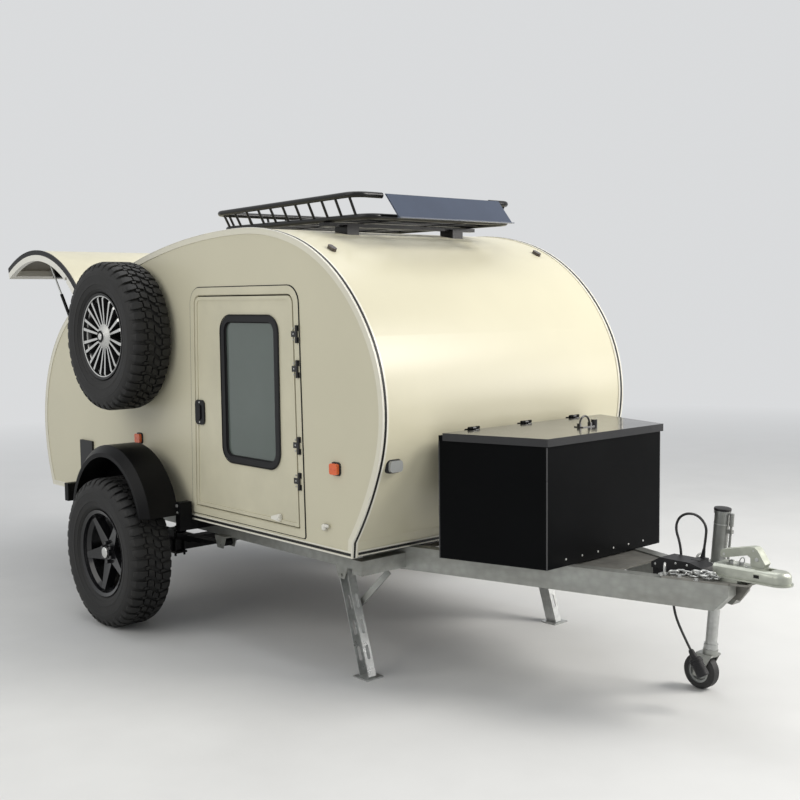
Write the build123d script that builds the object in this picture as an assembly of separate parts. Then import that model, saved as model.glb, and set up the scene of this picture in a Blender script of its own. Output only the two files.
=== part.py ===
from build123d import *
import os
from math import atan2, cos, degrees, hypot, pi, radians, sin, sqrt, tan

# A small off-road teardrop trailer. Lengths are in millimetres.
# While it is drawn, x runs forward from the axle, y to the left and z up from the ground.
# Each finished piece is then moved so that the origin is the middle of the coupling's ball socket.

# Coupling socket
ball_x = 3040.0
ball_height = 580.0
ball_radius = 25.4
socket_depth = 40.0

# Wheels
tyre_diameter = 735.0
tyre_width = 220.0
rim_lip_radius = 213.0
rim_width = 186.0
rim_wall = 8.0
hub_radius = 62.0
tyre_gap = 100.0  # between the body's side and the tyre
backplate_inset = 200.0
axle_size = 60.0
axle_drop = 15.5
spindle_radius = 22.0
pin_clearance = 0.08

# Body shell
body_width = 1500.0
wall = 30.0
shell = 30.0
floor_bottom = 550.0
floor_thickness = 40.0
roof_top = 1911.0
top_x = 840.0
# Joints of the side outline, in tangent arcs from the top of the roof
front_outline = [  # x, z
    (1193.0, 1859.0),
    (1699.0, 1448.0),
    (1740.0, 930.0),
    (1578.0, 612.0),
]
toe_x = 1572.0
rear_outline = [  # x, z
    (-226.0, 1760.0),
    (-760.0, 1575.0),
    (-1210.0, 819.0),
]
heel_x = -1138.0
edge_proud = 3.0
edge_face = 24.0
edge_return = 28.0

# Doors and windows
door_rear_x = 388.0
door_front_x = 1256.0
door_bottom = 584.0
door_top = 1656.0
door_taper = 12.0
door_radius = 78.0
door_flange = 34.0
door_proud = 4.0
door_gap = 6.0
door_lip = 16.0
door_swing = 160.0
window_rear_x = 654.0
window_front_x = 1100.0
window_bottom = 856.0
window_top = 1530.0
window_radius = 76.0
window_frame = 30.0
window_proud = 7.0
glass_thickness = 5.0
handle_x = 464.0
handle_z = 1071.0
handle_length = 116.0
handle_width = 76.0
door_hinges = [864.0, 1017.0, 1342.0, 1489.0]  # top of each hinge, z
door_hinge_length = 76.0
door_hinge_inset = 18.0
door_hinge_leaf = 40.0

# Hatch, stored open
hatch_bottom = 662.0
hatch_angle = 78.0
hatch_gap = 6.0
hatch_skin = 24.0
hatch_depth = 58.0
hatch_rib = 28.0
strut_foot = (-948.0, 1409.0)
strut_head_open = (-1278.0, 1848.0)
strut_standoff = 16.0
strut_pin = 5.0
pin_notch = 6.0
strut_barrel_radius = 9.0
strut_barrel_length = 288.0
strut_rod_radius = 5.0

# Cabin and galley
bulkhead_x = -560.0
board = 18.0
galley_rear_x = -1068.0
counter_z = 1000.0
shelf_z = 1330.0
mattress_thickness = 110.0

# Chassis
rail_inset = 150.0
rail_width = 60.0
rail_height = 90.0
rail_rear_x = -1080.0
crossbar_x = 1500.0
crossbar_depth = 60.0
crossbar_height = 62.0
crossbar_inset = 60.0
drawbar_root_x = 1110.0
drawbar_tip_x = 2880.0
drawbar_tip_half = 73.4
drawbar_width = 50.0
drawbar_height = 100.0
crossmember = 50.0
crossmember_x = [-1055.0, -520.0, 520.0, 1085.0]

# Leaf springs
spring_offset = 32.0
spring_width = 50.0
spring_leaf = 8.0
spring_leaves = 4
spring_front_x = 470.0
spring_rear_x = -430.0
spring_eye_z = 432.0
spring_eye_radius = 19.0

# Fenders
fender_cover = 62.0
fender_gap = 86.0
fender_crown_radius = 385.0
fender_mouth_radius = 330.0
fender_centre_z = 510.0
fender_end_z = 578.0
fender_sheet = 5.0
fender_chamfer = 34.0
fender_arm = 40.0
fender_arm_x = 372.0
fender_liner = 3.0
rear_arm_x = -804.0
rear_arm_top = 600.0

# Spare wheel
spare_x = -96.0
spare_gap = 12.0
spare_z = 1425.0

# Tool box on the drawbar
box_rear_x = 1820.0
box_front_x = 2272.0
box_rear_half = 496.0
box_front_half = 360.0
box_bottom = 550.3
box_top = 1048.0
box_sheet = 6.0
lid_thickness = 5.0
lid_lip = 26.0
lid_rear_x = 1846.0
lid_swing = 100.0
lid_gap = 6.0

# Roof rack
rack_rear_x = 232.0
rack_front_x = 1345.0
rack_top_front_x = 1308.0
rack_clearance = 37.0
rack_height = 86.0
rack_low_half = 444.0
rack_top_half = 486.0
rack_tube = 13.0
rack_bars_x = [420.0, 1060.0]

# Front legs
leg_pivot = (1354.0, 422.0)  # x, z
leg_foot = (1486.0, 0.0)
leg_width = 60.0
leg_depth = 40.0
leg_sheet = 4.0
leg_bolt = 6.0
foot_thickness = 6.0
foot_half = 46.0
brace_low_x = 1396.0
brace_low_z = 286.0
brace_low_inset = 29.0
brace_high_x = 1522.0
brace_high_z = 446.0
brace_high_inset = 92.0
brace_width = 28.0
brace_thickness = 6.0

# Jockey wheel
jockey_y = 290.0
jockey_foot_x = 2561.0
jockey_lean = 4.7
jockey_outer_radius = 30.0
jockey_inner_radius = 23.5
jockey_top = 752.0
jockey_outer_bottom = 400.0
jockey_collar_z = 176.0
jockey_wheel_radius = 72.0
jockey_wheel_width = 50.0
jockey_trail = 34.0
jockey_lift = 190.0

rim_face_y = rim_width / 2
wheel_z = tyre_diameter / 2
half_width = body_width / 2
wheel_y = half_width + tyre_gap + tyre_width / 2
backplate_y = wheel_y - backplate_inset
spare_y = half_width + spare_gap + tyre_width / 2
fender_inner_y = half_width + fender_gap
fender_outer_y = wheel_y + fender_cover
rail_y = half_width - rail_inset
spring_y = rail_y + spring_offset
crossbar_half = half_width - crossbar_inset
drawbar_root_half = rail_y - rail_width / 2
drawbar_slope = (drawbar_root_half - drawbar_tip_half) / (drawbar_tip_x - drawbar_root_x)
leg_y = rail_y
brace_low = (brace_low_x, -leg_y + brace_low_inset, brace_low_z)
brace_high = (brace_high_x, -leg_y + brace_high_inset, brace_high_z)
rack_low_z = roof_top + rack_clearance
rack_top_z = rack_low_z + rack_height
inner_half = half_width - wall
floor_top = floor_bottom + floor_thickness
rail_bottom = floor_bottom - rail_height
drawbar_bottom = floor_bottom - drawbar_height
axle_z = wheel_z - axle_drop


def block(x0, x1, y0, y1, z0, z1):
    """Box between two corners."""
    return Pos((x0 + x1) / 2, (y0 + y1) / 2, (z0 + z1) / 2) * Box(abs(x1 - x0), abs(y1 - y0), abs(z1 - z0))


def rod_between(start, end, radius):
    """Round bar from one point to another."""
    direction = Vector(*end) - Vector(*start)
    plane = Plane(origin=start, z_dir=direction)
    return extrude(plane * Circle(radius), direction.length)


def tube_between(start, end, outer, inner):
    """Round tube from one point to another."""
    direction = Vector(*end) - Vector(*start)
    plane = Plane(origin=start, z_dir=direction)
    return extrude(plane * (Circle(outer) - Circle(inner)), direction.length)


def slab(face, y0, y1):
    """Extrude a face, drawn as (x, z), between two y values."""
    low, high = min(y0, y1), max(y0, y1)
    return extrude(Plane.XZ.offset(-high) * face, high - low)


def mirrored(shape):
    """The same piece on the other side of the trailer."""
    return mirror(shape, about=Plane.XZ)


def both(shape):
    """A piece and its mirror image, as two solids of one node."""
    return Compound(children=list(shape.solids()) + list(mirrored(shape).solids()))


def joined(shapes):
    """Fuse a list of shapes."""
    result = shapes[0]
    for other in shapes[1:]:
        result = result + other
    return result


def kept_apart(shapes):
    """Several solids of one node that don't touch."""
    solids = []
    for shape in shapes:
        solids += list(shape.solids())
    return Compound(children=solids)


def polygon(points):
    """Face from corner points."""
    return make_face(Polyline(*points, close=True))


# Side outline and the rings that the roof, hatch and edging are cut from

def outline_edges():
    """Closed outline of the body's side, as (x, z), with tangent arcs."""
    edges = []
    for nodes, heading in ((front_outline, (1, 0)), (rear_outline, (-1, 0))):
        here = (top_x, roof_top)
        tangent = Vector(heading[0], heading[1], 0)
        for node in nodes:
            arc = TangentArc(here, node, tangent=tangent)
            edges.append(arc)
            tangent = arc % 1
            here = node
        if heading[0] < 0:
            edges.append(TangentArc(here, (heel_x, floor_bottom), tangent=tangent))
    toe = (toe_x, floor_bottom)
    edges.append(Line(front_outline[-1], toe))
    edges.append(Line(toe, (heel_x, floor_bottom)))
    return edges


def outline():
    """Face inside the side outline."""
    return make_face(Wire(outline_edges()))


body_face = outline()
beyond = 3000.0  # past every edge of the outline
low_zone = polygon([(-beyond, 0.0), (beyond, 0.0), (beyond, floor_top), (-beyond, floor_top)])


def inset(depth):
    """The side outline moved inwards by a depth, or outwards where it is negative."""
    return offset(body_face, amount=-depth, kind=Kind.INTERSECTION)


def ring(outer_depth, inner_depth):
    """Band between two depths below the side outline."""
    outer = inset(outer_depth) if outer_depth else body_face
    return outer - inset(inner_depth)


hinge_x, hinge_z = rear_outline[1]
hinge_tangent = TangentArc(rear_outline[0], rear_outline[1], tangent=(
    TangentArc((top_x, roof_top), rear_outline[0], tangent=Vector(-1, 0, 0)) % 1)) % 1
hinge_in = Vector(-hinge_tangent.Y, hinge_tangent.X, 0)
far_out = 260.0
reach_in = 200.0


def at_hinge(along, inward):
    """Point beside the hatch's hinge line, along the roof and inwards."""
    return (hinge_x + hinge_tangent.X * along + hinge_in.X * inward,
            hinge_z + hinge_tangent.Y * along + hinge_in.Y * inward)


def hatch_zone(gap):
    """Region of the side that the hatch takes, shortened by a gap at each end."""
    return polygon([
        at_hinge(gap + 2.0, -far_out),
        at_hinge(gap + 2.0, reach_in),
        (-930.0, 1200.0),
        (-1000.0, hatch_bottom + gap),
        (-1600.0, hatch_bottom + gap),
        (-1600.0, 1900.0),
    ])


hinge_barrel = 7.0
hinge_sink = 1.2
hatch_axis = (hinge_x - hinge_in.X * (hinge_barrel - hinge_sink),
              hinge_z - hinge_in.Y * (hinge_barrel - hinge_sink))


def opened(shape):
    """Swing a closed hatch piece to its open rest position."""
    centre = Pos(hatch_axis[0], 0, hatch_axis[1])
    return centre * Rot(0, hatch_angle, 0) * centre.inverse() * shape


# Body panels

def door_outline(margin):
    """Door shape, as (x, z), narrower at its top, moved inwards by a margin."""
    x0, x1 = door_rear_x, door_front_x
    corners = [
        (x0 - door_taper, door_bottom),
        (x1 + door_taper, door_bottom),
        (x1 - door_taper, door_top),
        (x0 + door_taper, door_top),
    ]
    face = polygon(corners)
    upper = [v for v in face.vertices() if v.Y > (door_bottom + door_top) / 2]
    lower = [v for v in face.vertices() if v.Y < (door_bottom + door_top) / 2]
    face = fillet(upper, door_radius)
    face = fillet([v for v in face.vertices() if v.Y < door_bottom + 1], 10.0)
    if margin:
        face = offset(face, amount=-margin)
    return face


def window_outline(margin):
    """Window shape, as (x, z), moved inwards by a margin."""
    width = window_front_x - window_rear_x - 2 * margin
    height = window_top - window_bottom - 2 * margin
    centre = Pos((window_rear_x + window_front_x) / 2, (window_bottom + window_top) / 2)
    return centre * RectangleRounded(width, height, window_radius - margin)


def make_side_wall():
    """Right wall: the whole side outline with the door opening cut."""
    panel = slab(body_face, -half_width, -inner_half)
    return panel - slab(door_outline(door_flange), -half_width - 1, -inner_half + 1)


def make_roof():
    """Front and roof shell between the walls, from the floor over to the hatch hinge."""
    band = ring(0, shell)
    rear = polygon([at_hinge(0, -far_out), at_hinge(0, 400.0), (-600.0, 0.0), (-2500.0, 0.0), (-2500.0, 2300.0)])
    shell_piece = slab(band - low_zone - rear, -inner_half, inner_half)
    start = (hatch_axis[0], -inner_half, hatch_axis[1])
    end = (hatch_axis[0], inner_half, hatch_axis[1])
    return shell_piece - rod_between(start, end, hinge_barrel + 4.0)


def make_rear_panel():
    """Low fixed panel under the hatch."""
    band = ring(0, shell)
    zone = polygon([(-1700.0, floor_top), (-900.0, floor_top), (-900.0, hatch_bottom), (-1700.0, hatch_bottom)])
    return slab(band & zone, -inner_half, inner_half)


def make_floor():
    """Floor between the walls."""
    return slab(body_face & low_zone, -inner_half, inner_half)


def make_edging():
    """Angle moulding round the edge of the right wall."""
    rim_face = inset(-edge_proud)
    face_band = rim_face - inset(edge_face)
    return_band = rim_face - body_face
    face_leg = slab(face_band, -half_width - edge_proud, -half_width)
    return_leg = slab(return_band, -half_width - edge_proud, -half_width + edge_return)
    return face_leg + return_leg


def make_front_sill():
    """Moulding across the front skin's lower edge, proud of it."""
    zone = polygon([(1400.0, floor_bottom + 0.5), (1700.0, floor_bottom + 0.5),
                    (1700.0, floor_bottom + edge_face), (1400.0, floor_bottom + edge_face)])
    return slab((inset(-edge_proud) - body_face) & zone, -inner_half, inner_half)


def make_bulkhead():
    """Board between the cabin and the galley."""
    inside = inset(shell) & polygon([
        (bulkhead_x - board, floor_top), (bulkhead_x, floor_top),
        (bulkhead_x, 2000.0), (bulkhead_x - board, 2000.0)])
    return slab(inside, -inner_half, inner_half)


def make_counter():
    """Galley worktop with a lip along its rear edge."""
    rear_x = galley_rear_x
    top = block(rear_x, bulkhead_x - board, -inner_half, inner_half, counter_z - board, counter_z)
    lip = block(rear_x, rear_x + board, -inner_half + 60.0, inner_half - 60.0, counter_z - 60.0, counter_z - board)
    return top + lip


def make_cabinets():
    """Upright boards under and over the worktop."""
    boards = []
    rear_x = galley_rear_x + 14.0
    for y in (-330.0, 330.0):
        boards.append(block(rear_x, bulkhead_x - board, y - board / 2, y + board / 2, floor_top, counter_z - board))
    for y in (-250.0, 250.0):
        boards.append(block(-800.0, bulkhead_x - board, y - board / 2, y + board / 2, counter_z, shelf_z))
    return kept_apart(boards)


def make_shelf():
    """Shelf over the worktop."""
    return block(-820.0, bulkhead_x - board, -inner_half, inner_half, shelf_z, shelf_z + board)


def make_mattress():
    """Plain mattress on the cabin floor."""
    body = block(bulkhead_x + 12.0, 1380.0, -inner_half + 14.0, inner_half - 14.0,
                 floor_top + 0.3, floor_top + mattress_thickness)
    return fillet(body.edges().filter_by(Axis.Z), 60.0)


# Doors, drawn on the right side

def hinge_halves(length, count, barrel, leaf, plate, over=0.0):
    """Butt hinge along local Z, on the face at y = -barrel: fixed leaf to +X, moving leaf to -X past an overhang."""
    pin = barrel * 0.45
    step = length / count
    fixed = [Pos(0, 0, length / 2) * Cylinder(pin, length)]
    moving = []
    lift = plate * 0.4
    for index in range(count):
        side = 1 if index % 2 == 0 else -1
        low = index * step + 0.5
        high = (index + 1) * step - 0.5
        knuckle = extrude(Plane.XY.offset(low) * Circle(barrel), high - low)
        x0, x1 = (0.0, leaf) if side > 0 else (-leaf, 0.0)
        flap = block(x0, x1, -barrel, -barrel + plate, low, high)
        if side < 0 and over:
            flap = block(-leaf, 0.0, -barrel + lift, -barrel + plate + lift, low, high)
            flap = flap + block(-leaf, -over, -barrel, -barrel + plate, low, high)
        piece = knuckle + flap
        if side > 0:
            fixed.append(piece)
        else:
            bore = extrude(Plane.XY.offset(low - 1) * Circle(pin + pin_clearance), high - low + 2)
            moving.append(piece - bore)
    return joined(fixed), kept_apart(moving)


door_face_y = -half_width - door_proud
door_barrel = 6.0
door_axis = (door_front_x - door_hinge_inset, door_face_y - door_barrel)


def make_door_frame():
    """Flanged frame round the right door opening."""
    flange = slab(door_outline(0) - door_outline(door_flange), door_face_y, -half_width)
    jamb = slab(door_outline(door_flange) - door_outline(door_flange + 3.0), -half_width - 0.01, -inner_half)
    return flange + jamb


def make_door_panel():
    """Right door leaf with a raised lip round its edge and the window cut through."""
    edge = door_flange + 3.0 + door_gap
    leaf = slab(door_outline(edge), -half_width, -inner_half)
    lip = slab(door_outline(edge) - door_outline(edge + door_lip), door_face_y, -half_width)
    panel = leaf + lip
    panel = panel - slab(Pos(handle_x, handle_z) * RectangleRounded(handle_width + 4.0, handle_length + 4.0, 24.0),
                         door_face_y - 20.0, -half_width)
    return panel - slab(window_outline(window_frame - 12.0), -half_width - 20, -inner_half + 20)


def make_window_frame():
    """Rounded rubber frame of the door window, proud of the panel."""
    band = window_outline(0) - window_outline(window_frame)
    outer = slab(band, -half_width - window_proud, -half_width)
    outer = chamfer(outer.faces().sort_by(Axis.Y)[0].outer_wire().edges(), 4.0)
    inner = slab(window_outline(window_frame - 12.0) - window_outline(window_frame), -half_width, -inner_half)
    return outer + inner


def make_glass():
    """Window pane, held in the frame."""
    y = -half_width + 8.0
    return slab(window_outline(window_frame), y - glass_thickness / 2, y + glass_thickness / 2)


def make_handle():
    """Recessed paddle handle with its surround."""
    face = Pos(handle_x, handle_z) * RectangleRounded(handle_width, handle_length, 22.0)
    base = slab(face, -half_width - 9.0, -half_width)
    hollow = Pos(handle_x + 4.0, handle_z) * RectangleRounded(handle_width * 0.5, handle_length * 0.62, 14.0)
    base = base - slab(hollow, -half_width - 10.0, -half_width - 3.0)
    paddle = Pos(handle_x - 2.0, handle_z + 2.0) * RectangleRounded(20.0, handle_length * 0.62 - 2.0, 8.0)
    return base + slab(paddle, -half_width - 12.0, -half_width - 2.9)


def make_door_hinges():
    """The four butt hinges of the right door, as a fixed and a moving node."""
    fixed, moving = [], []
    for z in door_hinges:
        half_fixed, half_moving = hinge_halves(door_hinge_length, 3, door_barrel, door_hinge_inset - 4.0, 2.0)
        over = door_hinge_leaf - 10.0
        half_moving = hinge_halves(door_hinge_length, 3, door_barrel, door_hinge_leaf, 2.0, over)[1]
        place = Pos(door_axis[0], door_axis[1], z - door_hinge_length) * Rot(0, 0, 180)
        fixed.append(place * mirror(half_fixed, about=Plane.YZ))
        moving.append(place * mirror(half_moving, about=Plane.YZ))
    return kept_apart(fixed), kept_apart(moving)


def make_catch(x, z, reach):
    """Small hooked door catch on a round base."""
    base = Pos(x, -half_width - 5.0, z) * Rot(90, 0, 0) * Cylinder(14.0, 10.0)
    arm = block(x - 6.0, x + reach, -half_width - 17.0, -half_width - 9.0, z - 5.0, z + 5.0)
    return base + arm


# Lamps on the body

def make_side_markers():
    """Amber marker lamps, two on each wall."""
    lamps = []
    for x, z in ((1482.0, 905.0), (-120.0, 900.0)):
        face = Pos(x, z) * RectangleRounded(50.0, 46.0, 10.0)
        lamps.append(slab(face, -half_width - 20.0, -half_width))
    return both(kept_apart(lamps))


def front_skin_x(z):
    """X of the front skin at a height, on the lower front arc."""
    x0, z0 = front_outline[1]
    x1, z1 = front_outline[2]
    arc = TangentArc(front_outline[0], front_outline[1], tangent=(
        TangentArc((top_x, roof_top), front_outline[0], tangent=Vector(1, 0, 0)) % 1))
    bulge = TangentArc((x0, z0), (x1, z1), tangent=arc % 1)
    hits = [bulge @ (k / 200) for k in range(201)]
    return min(hits, key=lambda p: abs(p.Y - z)).X


roof_marker_x = 1335.0
position_lamp_y = half_width - 78.0
roof_marker_y = half_width - 110.0
position_lamp_z = 935.0


def make_position_lamps():
    """White lamps on the front skin, one near each wall."""
    x = front_skin_x(position_lamp_z)
    body = Pos(x - 12.0, -position_lamp_y, position_lamp_z) * Rot(0, 90, 0) * extrude(
        RectangleRounded(46.0, 66.0, 14.0), 36.0)
    return both(body - slab(body_face, -inner_half, inner_half))


def make_tail_lamps():
    """Red lamps low on the rear panel, one near each wall."""
    zone = polygon([(-1400.0, floor_top + 8.0), (-1000.0, floor_top + 8.0),
                    (-1000.0, hatch_bottom - 8.0), (-1400.0, hatch_bottom - 8.0)])
    return both(slab((inset(-20.0) - body_face) & zone, -inner_half + 14.0, -inner_half + 204.0))


def make_roof_markers():
    """Small clearance lamps on the brow of the roof."""
    lamps = []
    nodes = ((top_x, roof_top), front_outline[0], front_outline[1])
    first = TangentArc(nodes[0], nodes[1], tangent=Vector(1, 0, 0))
    brow = TangentArc(nodes[1], nodes[2], tangent=first % 1)
    share = min([k / 100 for k in range(100)], key=lambda t: abs((brow @ t).X - roof_marker_x))
    spot = brow @ share
    slope = brow % share
    plane = Plane(origin=(spot.X, -roof_marker_y, spot.Y), x_dir=(slope.X, 0, slope.Y), z_dir=(-slope.Y, 0, slope.X))
    lamps.append(extrude(plane.offset(-8.0) * RectangleRounded(46.0, 24.0, 9.0), 22.0))
    inside = slab(body_face, -inner_half, inner_half)
    return both(kept_apart([lamp - inside for lamp in lamps]))


def make_vent_plate():
    """Plain cover plate on the right wall behind the fender."""
    face = Pos(-700.0, 745.0) * RectangleRounded(140.0, 190.0, 6.0)
    return slab(face, -half_width - 12.0, -half_width)


# Hatch pieces, drawn closed and then opened

hatch_half = inner_half - hatch_gap
hatch_bar = 34.0


def make_hatch_shell():
    """Curved outer skin of the hatch."""
    band = ring(0, hatch_skin) & hatch_zone(hatch_gap)
    return opened(slab(band, -hatch_half + 8.0, hatch_half - 8.0))


def make_hatch_edging():
    """Dark moulding on both side edges of the hatch."""
    band = (inset(-4.0) - inset(hatch_skin)) & hatch_zone(hatch_gap)
    return opened(both(slab(band, -hatch_half, -hatch_half + 8.0)))


def strut_notch():
    """Path that the strut's fixed pin takes across the closing rib, widened by a clearance."""
    arm = Vector(strut_foot[0] - hatch_axis[0], strut_foot[1] - hatch_axis[1], 0)
    inward = Vector(-arm.Y, arm.X, 0).normalized()
    half = strut_pin + pin_notch
    band = Circle(arm.length + half) - Circle(arm.length - half)
    reach = [(0, 0), (2 * arm.X, 2 * arm.Y),
             (2 * arm.X + reach_in * inward.X, 2 * arm.Y + reach_in * inward.Y),
             (reach_in * inward.X, reach_in * inward.Y)]
    path = Pos(hatch_axis[0], hatch_axis[1]) * (band & polygon(reach))
    return path + Pos(strut_foot[0], strut_foot[1]) * Circle(half)


def make_hatch_ribs():
    """Curved side ribs of the hatch and the bar along its lower edge."""
    band = ring(hatch_skin, hatch_depth) & hatch_zone(hatch_gap)
    rib = slab(band, -hatch_half, -hatch_half + hatch_rib)
    low = hatch_bottom + hatch_gap
    top = low + hatch_bar
    zone = polygon([(-1600.0, low), (-1000.0, low), (-1000.0, top), (-1600.0, top)])
    bar = slab(band & zone, -hatch_half + hatch_rib, hatch_half - hatch_rib)
    notch = slab(strut_notch(), -hatch_half - 1.0, -hatch_half + hatch_rib + 1.0)
    rib = rib - notch
    return opened(rib + bar + mirrored(rib))


def make_hatch_latches():
    """Two turn latches on the hatch's lower edge."""
    latches = []
    for y in (-400.0, 400.0):
        z = hatch_bottom + hatch_gap + hatch_bar
        case = block(-1162.0, -1118.0, y - 45.0, y + 45.0, z, z + 30.0)
        latches.append(case)
    return opened(kept_apart(latches))


def make_hatch_hinges():
    """Long butt hinge between the roof and the hatch, as a fixed and a moving node."""
    length = 2 * (hatch_half - 60.0)
    fixed, moving = hinge_halves(length, 9, hinge_barrel, 30.0, 3.0)
    tangent = Vector(-hinge_tangent.X, 0, -hinge_tangent.Y)
    place = Plane(origin=(hatch_axis[0], length / 2, hatch_axis[1]), x_dir=tangent, z_dir=(0, -1, 0))
    inside = slab(body_face, -inner_half, inner_half)
    return Location(place) * fixed - inside, opened(Location(place) * moving)


# Gas struts, drawn on the right side

strut_y = hatch_half - hatch_rib - strut_standoff
strut_head = (strut_head_open[0], -strut_y, strut_head_open[1])
strut_base = (strut_foot[0], -strut_y, strut_foot[1])
strut_open_length = hypot(strut_head_open[0] - strut_foot[0], strut_head_open[1] - strut_foot[1])


def along_strut(distance):
    """Point on the strut's line, from its foot."""
    share = distance / strut_open_length
    return (strut_base[0] + (strut_head[0] - strut_base[0]) * share, -strut_y,
            strut_base[2] + (strut_head[2] - strut_base[2]) * share)


def make_strut_barrel():
    """Barrel of a gas strut with its eye."""
    body = tube_between(along_strut(16.0), along_strut(strut_barrel_length), strut_barrel_radius,
                        strut_rod_radius + pin_clearance)
    cap = rod_between(along_strut(8.0), along_strut(22.0), strut_barrel_radius)
    eye = Pos(*strut_base) * Rot(90, 0, 0) * Cylinder(10.0, 12.0)
    bore = Pos(*strut_base) * Rot(90, 0, 0) * Cylinder(strut_pin + pin_clearance, 14.0)
    return (body + cap + eye) - bore


def make_strut_rod():
    """Rod of a gas strut with its eye."""
    body = rod_between(along_strut(strut_barrel_length - 32.0), along_strut(strut_open_length - 8.0), strut_rod_radius)
    eye = Pos(*strut_head) * Rot(90, 0, 0) * Cylinder(10.0, 12.0)
    bore = Pos(*strut_head) * Rot(90, 0, 0) * Cylinder(strut_pin + pin_clearance, 14.0)
    return (body + eye) - bore


def make_strut_brackets():
    """Pin brackets of the struts on the walls."""
    x, y, z = strut_base
    return both(rod_between((x, -inner_half, z), (x, y + 9.0, z), strut_pin))


def make_hatch_pins():
    """Pins on the hatch ribs that hold the rods' eyes."""
    x, y, z = strut_head
    return both(rod_between((x, -hatch_half + hatch_rib - 4.0, z), (x, y + 9.0, z), strut_pin))


# Chassis

def drawbar_outer(x):
    """Distance of the drawbar rail's outer face from the centre line."""
    return drawbar_root_half - drawbar_slope * (x - drawbar_root_x)


def make_rails():
    """Two straight box rails under the floor."""
    rail = block(rail_rear_x, crossbar_x, -rail_y - rail_width / 2, -rail_y + rail_width / 2, rail_bottom, floor_bottom)
    hollow = block(rail_rear_x - 1, rail_rear_x + 60, -rail_y - rail_width / 2 + 4, -rail_y + rail_width / 2 - 4,
                   rail_bottom + 4, floor_bottom - 4)
    return both(rail - hollow)


def make_crossmembers():
    """Square tubes across between the rails."""
    inner = rail_y - rail_width / 2
    bars = []
    for x in crossmember_x:
        bars.append(block(x - crossmember / 2, x + crossmember / 2, -inner, inner,
                          floor_bottom - crossmember - 6.0, floor_bottom - 6.0))
    return kept_apart(bars)


def make_drawbar_rail():
    """Right rail of the A-frame, with its tip cut back below."""
    slant = sqrt(1 + drawbar_slope ** 2)
    outer0, outer1 = drawbar_outer(drawbar_root_x), drawbar_outer(drawbar_tip_x)
    width = drawbar_width * slant
    plan = make_face(Polyline(
        (drawbar_root_x, -outer0), (drawbar_tip_x, -outer1),
        (drawbar_tip_x, -outer1 + width), (drawbar_root_x, -outer0 + width), close=True))
    rail = extrude(Plane.XY.offset(drawbar_bottom) * plan, drawbar_height)
    cut = slab(polygon([(drawbar_tip_x - 52.0, drawbar_bottom - 1.0), (drawbar_tip_x + 1.0, drawbar_bottom - 1.0),
                        (drawbar_tip_x + 1.0, floor_bottom - 42.0), (drawbar_tip_x, floor_bottom - 42.0)]), -800, 800)
    return rail - cut


def make_crossbar():
    """Tube across in front of the body, cut round the drawbar rails."""
    bar = block(crossbar_x, crossbar_x + crossbar_depth, -crossbar_half, crossbar_half,
                rail_bottom, rail_bottom + crossbar_height)
    rail = make_drawbar_rail()
    return kept_apart([bar - rail - mirrored(rail)])


def plan_between_rails(x0, x1, inset_y):
    """Trapezium in plan between the drawbar rails' outer faces, moved in by an amount."""
    a, b = drawbar_outer(x0) - inset_y, drawbar_outer(x1) - inset_y
    return make_face(Polyline((x0, -a), (x1, -b), (x1, b), (x0, a), close=True))


def make_drawbar_plate():
    """Step plate between the drawbar rails in front of the tool box."""
    inner = drawbar_width * sqrt(1 + drawbar_slope ** 2)
    plan = plan_between_rails(2236.0, 2430.0, inner)
    return extrude(Plane.XY.offset(floor_bottom - 14.0) * plan, 8.0)


coupling_plate_rear = 2640.0
coupling_plate_thickness = 8.0


def make_coupling_plate():
    """Flat plate across the tips of the drawbar rails, with a web under its nose."""
    plan = plan_between_rails(coupling_plate_rear, drawbar_tip_x, 0.0)
    plate = extrude(Plane.XY.offset(floor_bottom) * plan, coupling_plate_thickness)
    nose = extrude(Plane.XY.offset(floor_bottom) * make_face(Polyline(
        (drawbar_tip_x - 1.0, -66.0), (drawbar_tip_x + 56.0, -44.0), (drawbar_tip_x + 56.0, 44.0),
        (drawbar_tip_x - 1.0, 66.0), close=True)), coupling_plate_thickness)
    web = slab(polygon([(drawbar_tip_x - 36.0, floor_bottom + 1.0), (drawbar_tip_x + 52.0, floor_bottom + 1.0),
                        (drawbar_tip_x + 6.0, floor_bottom - 66.0), (drawbar_tip_x - 36.0, floor_bottom - 60.0)]),
               -6.0, 6.0)
    return plate + nose + web


coupling_seat = floor_bottom + coupling_plate_thickness


coupling_lift = 12.0
coupling_height = 48.0
coupling_pivot = 52.5


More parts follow.
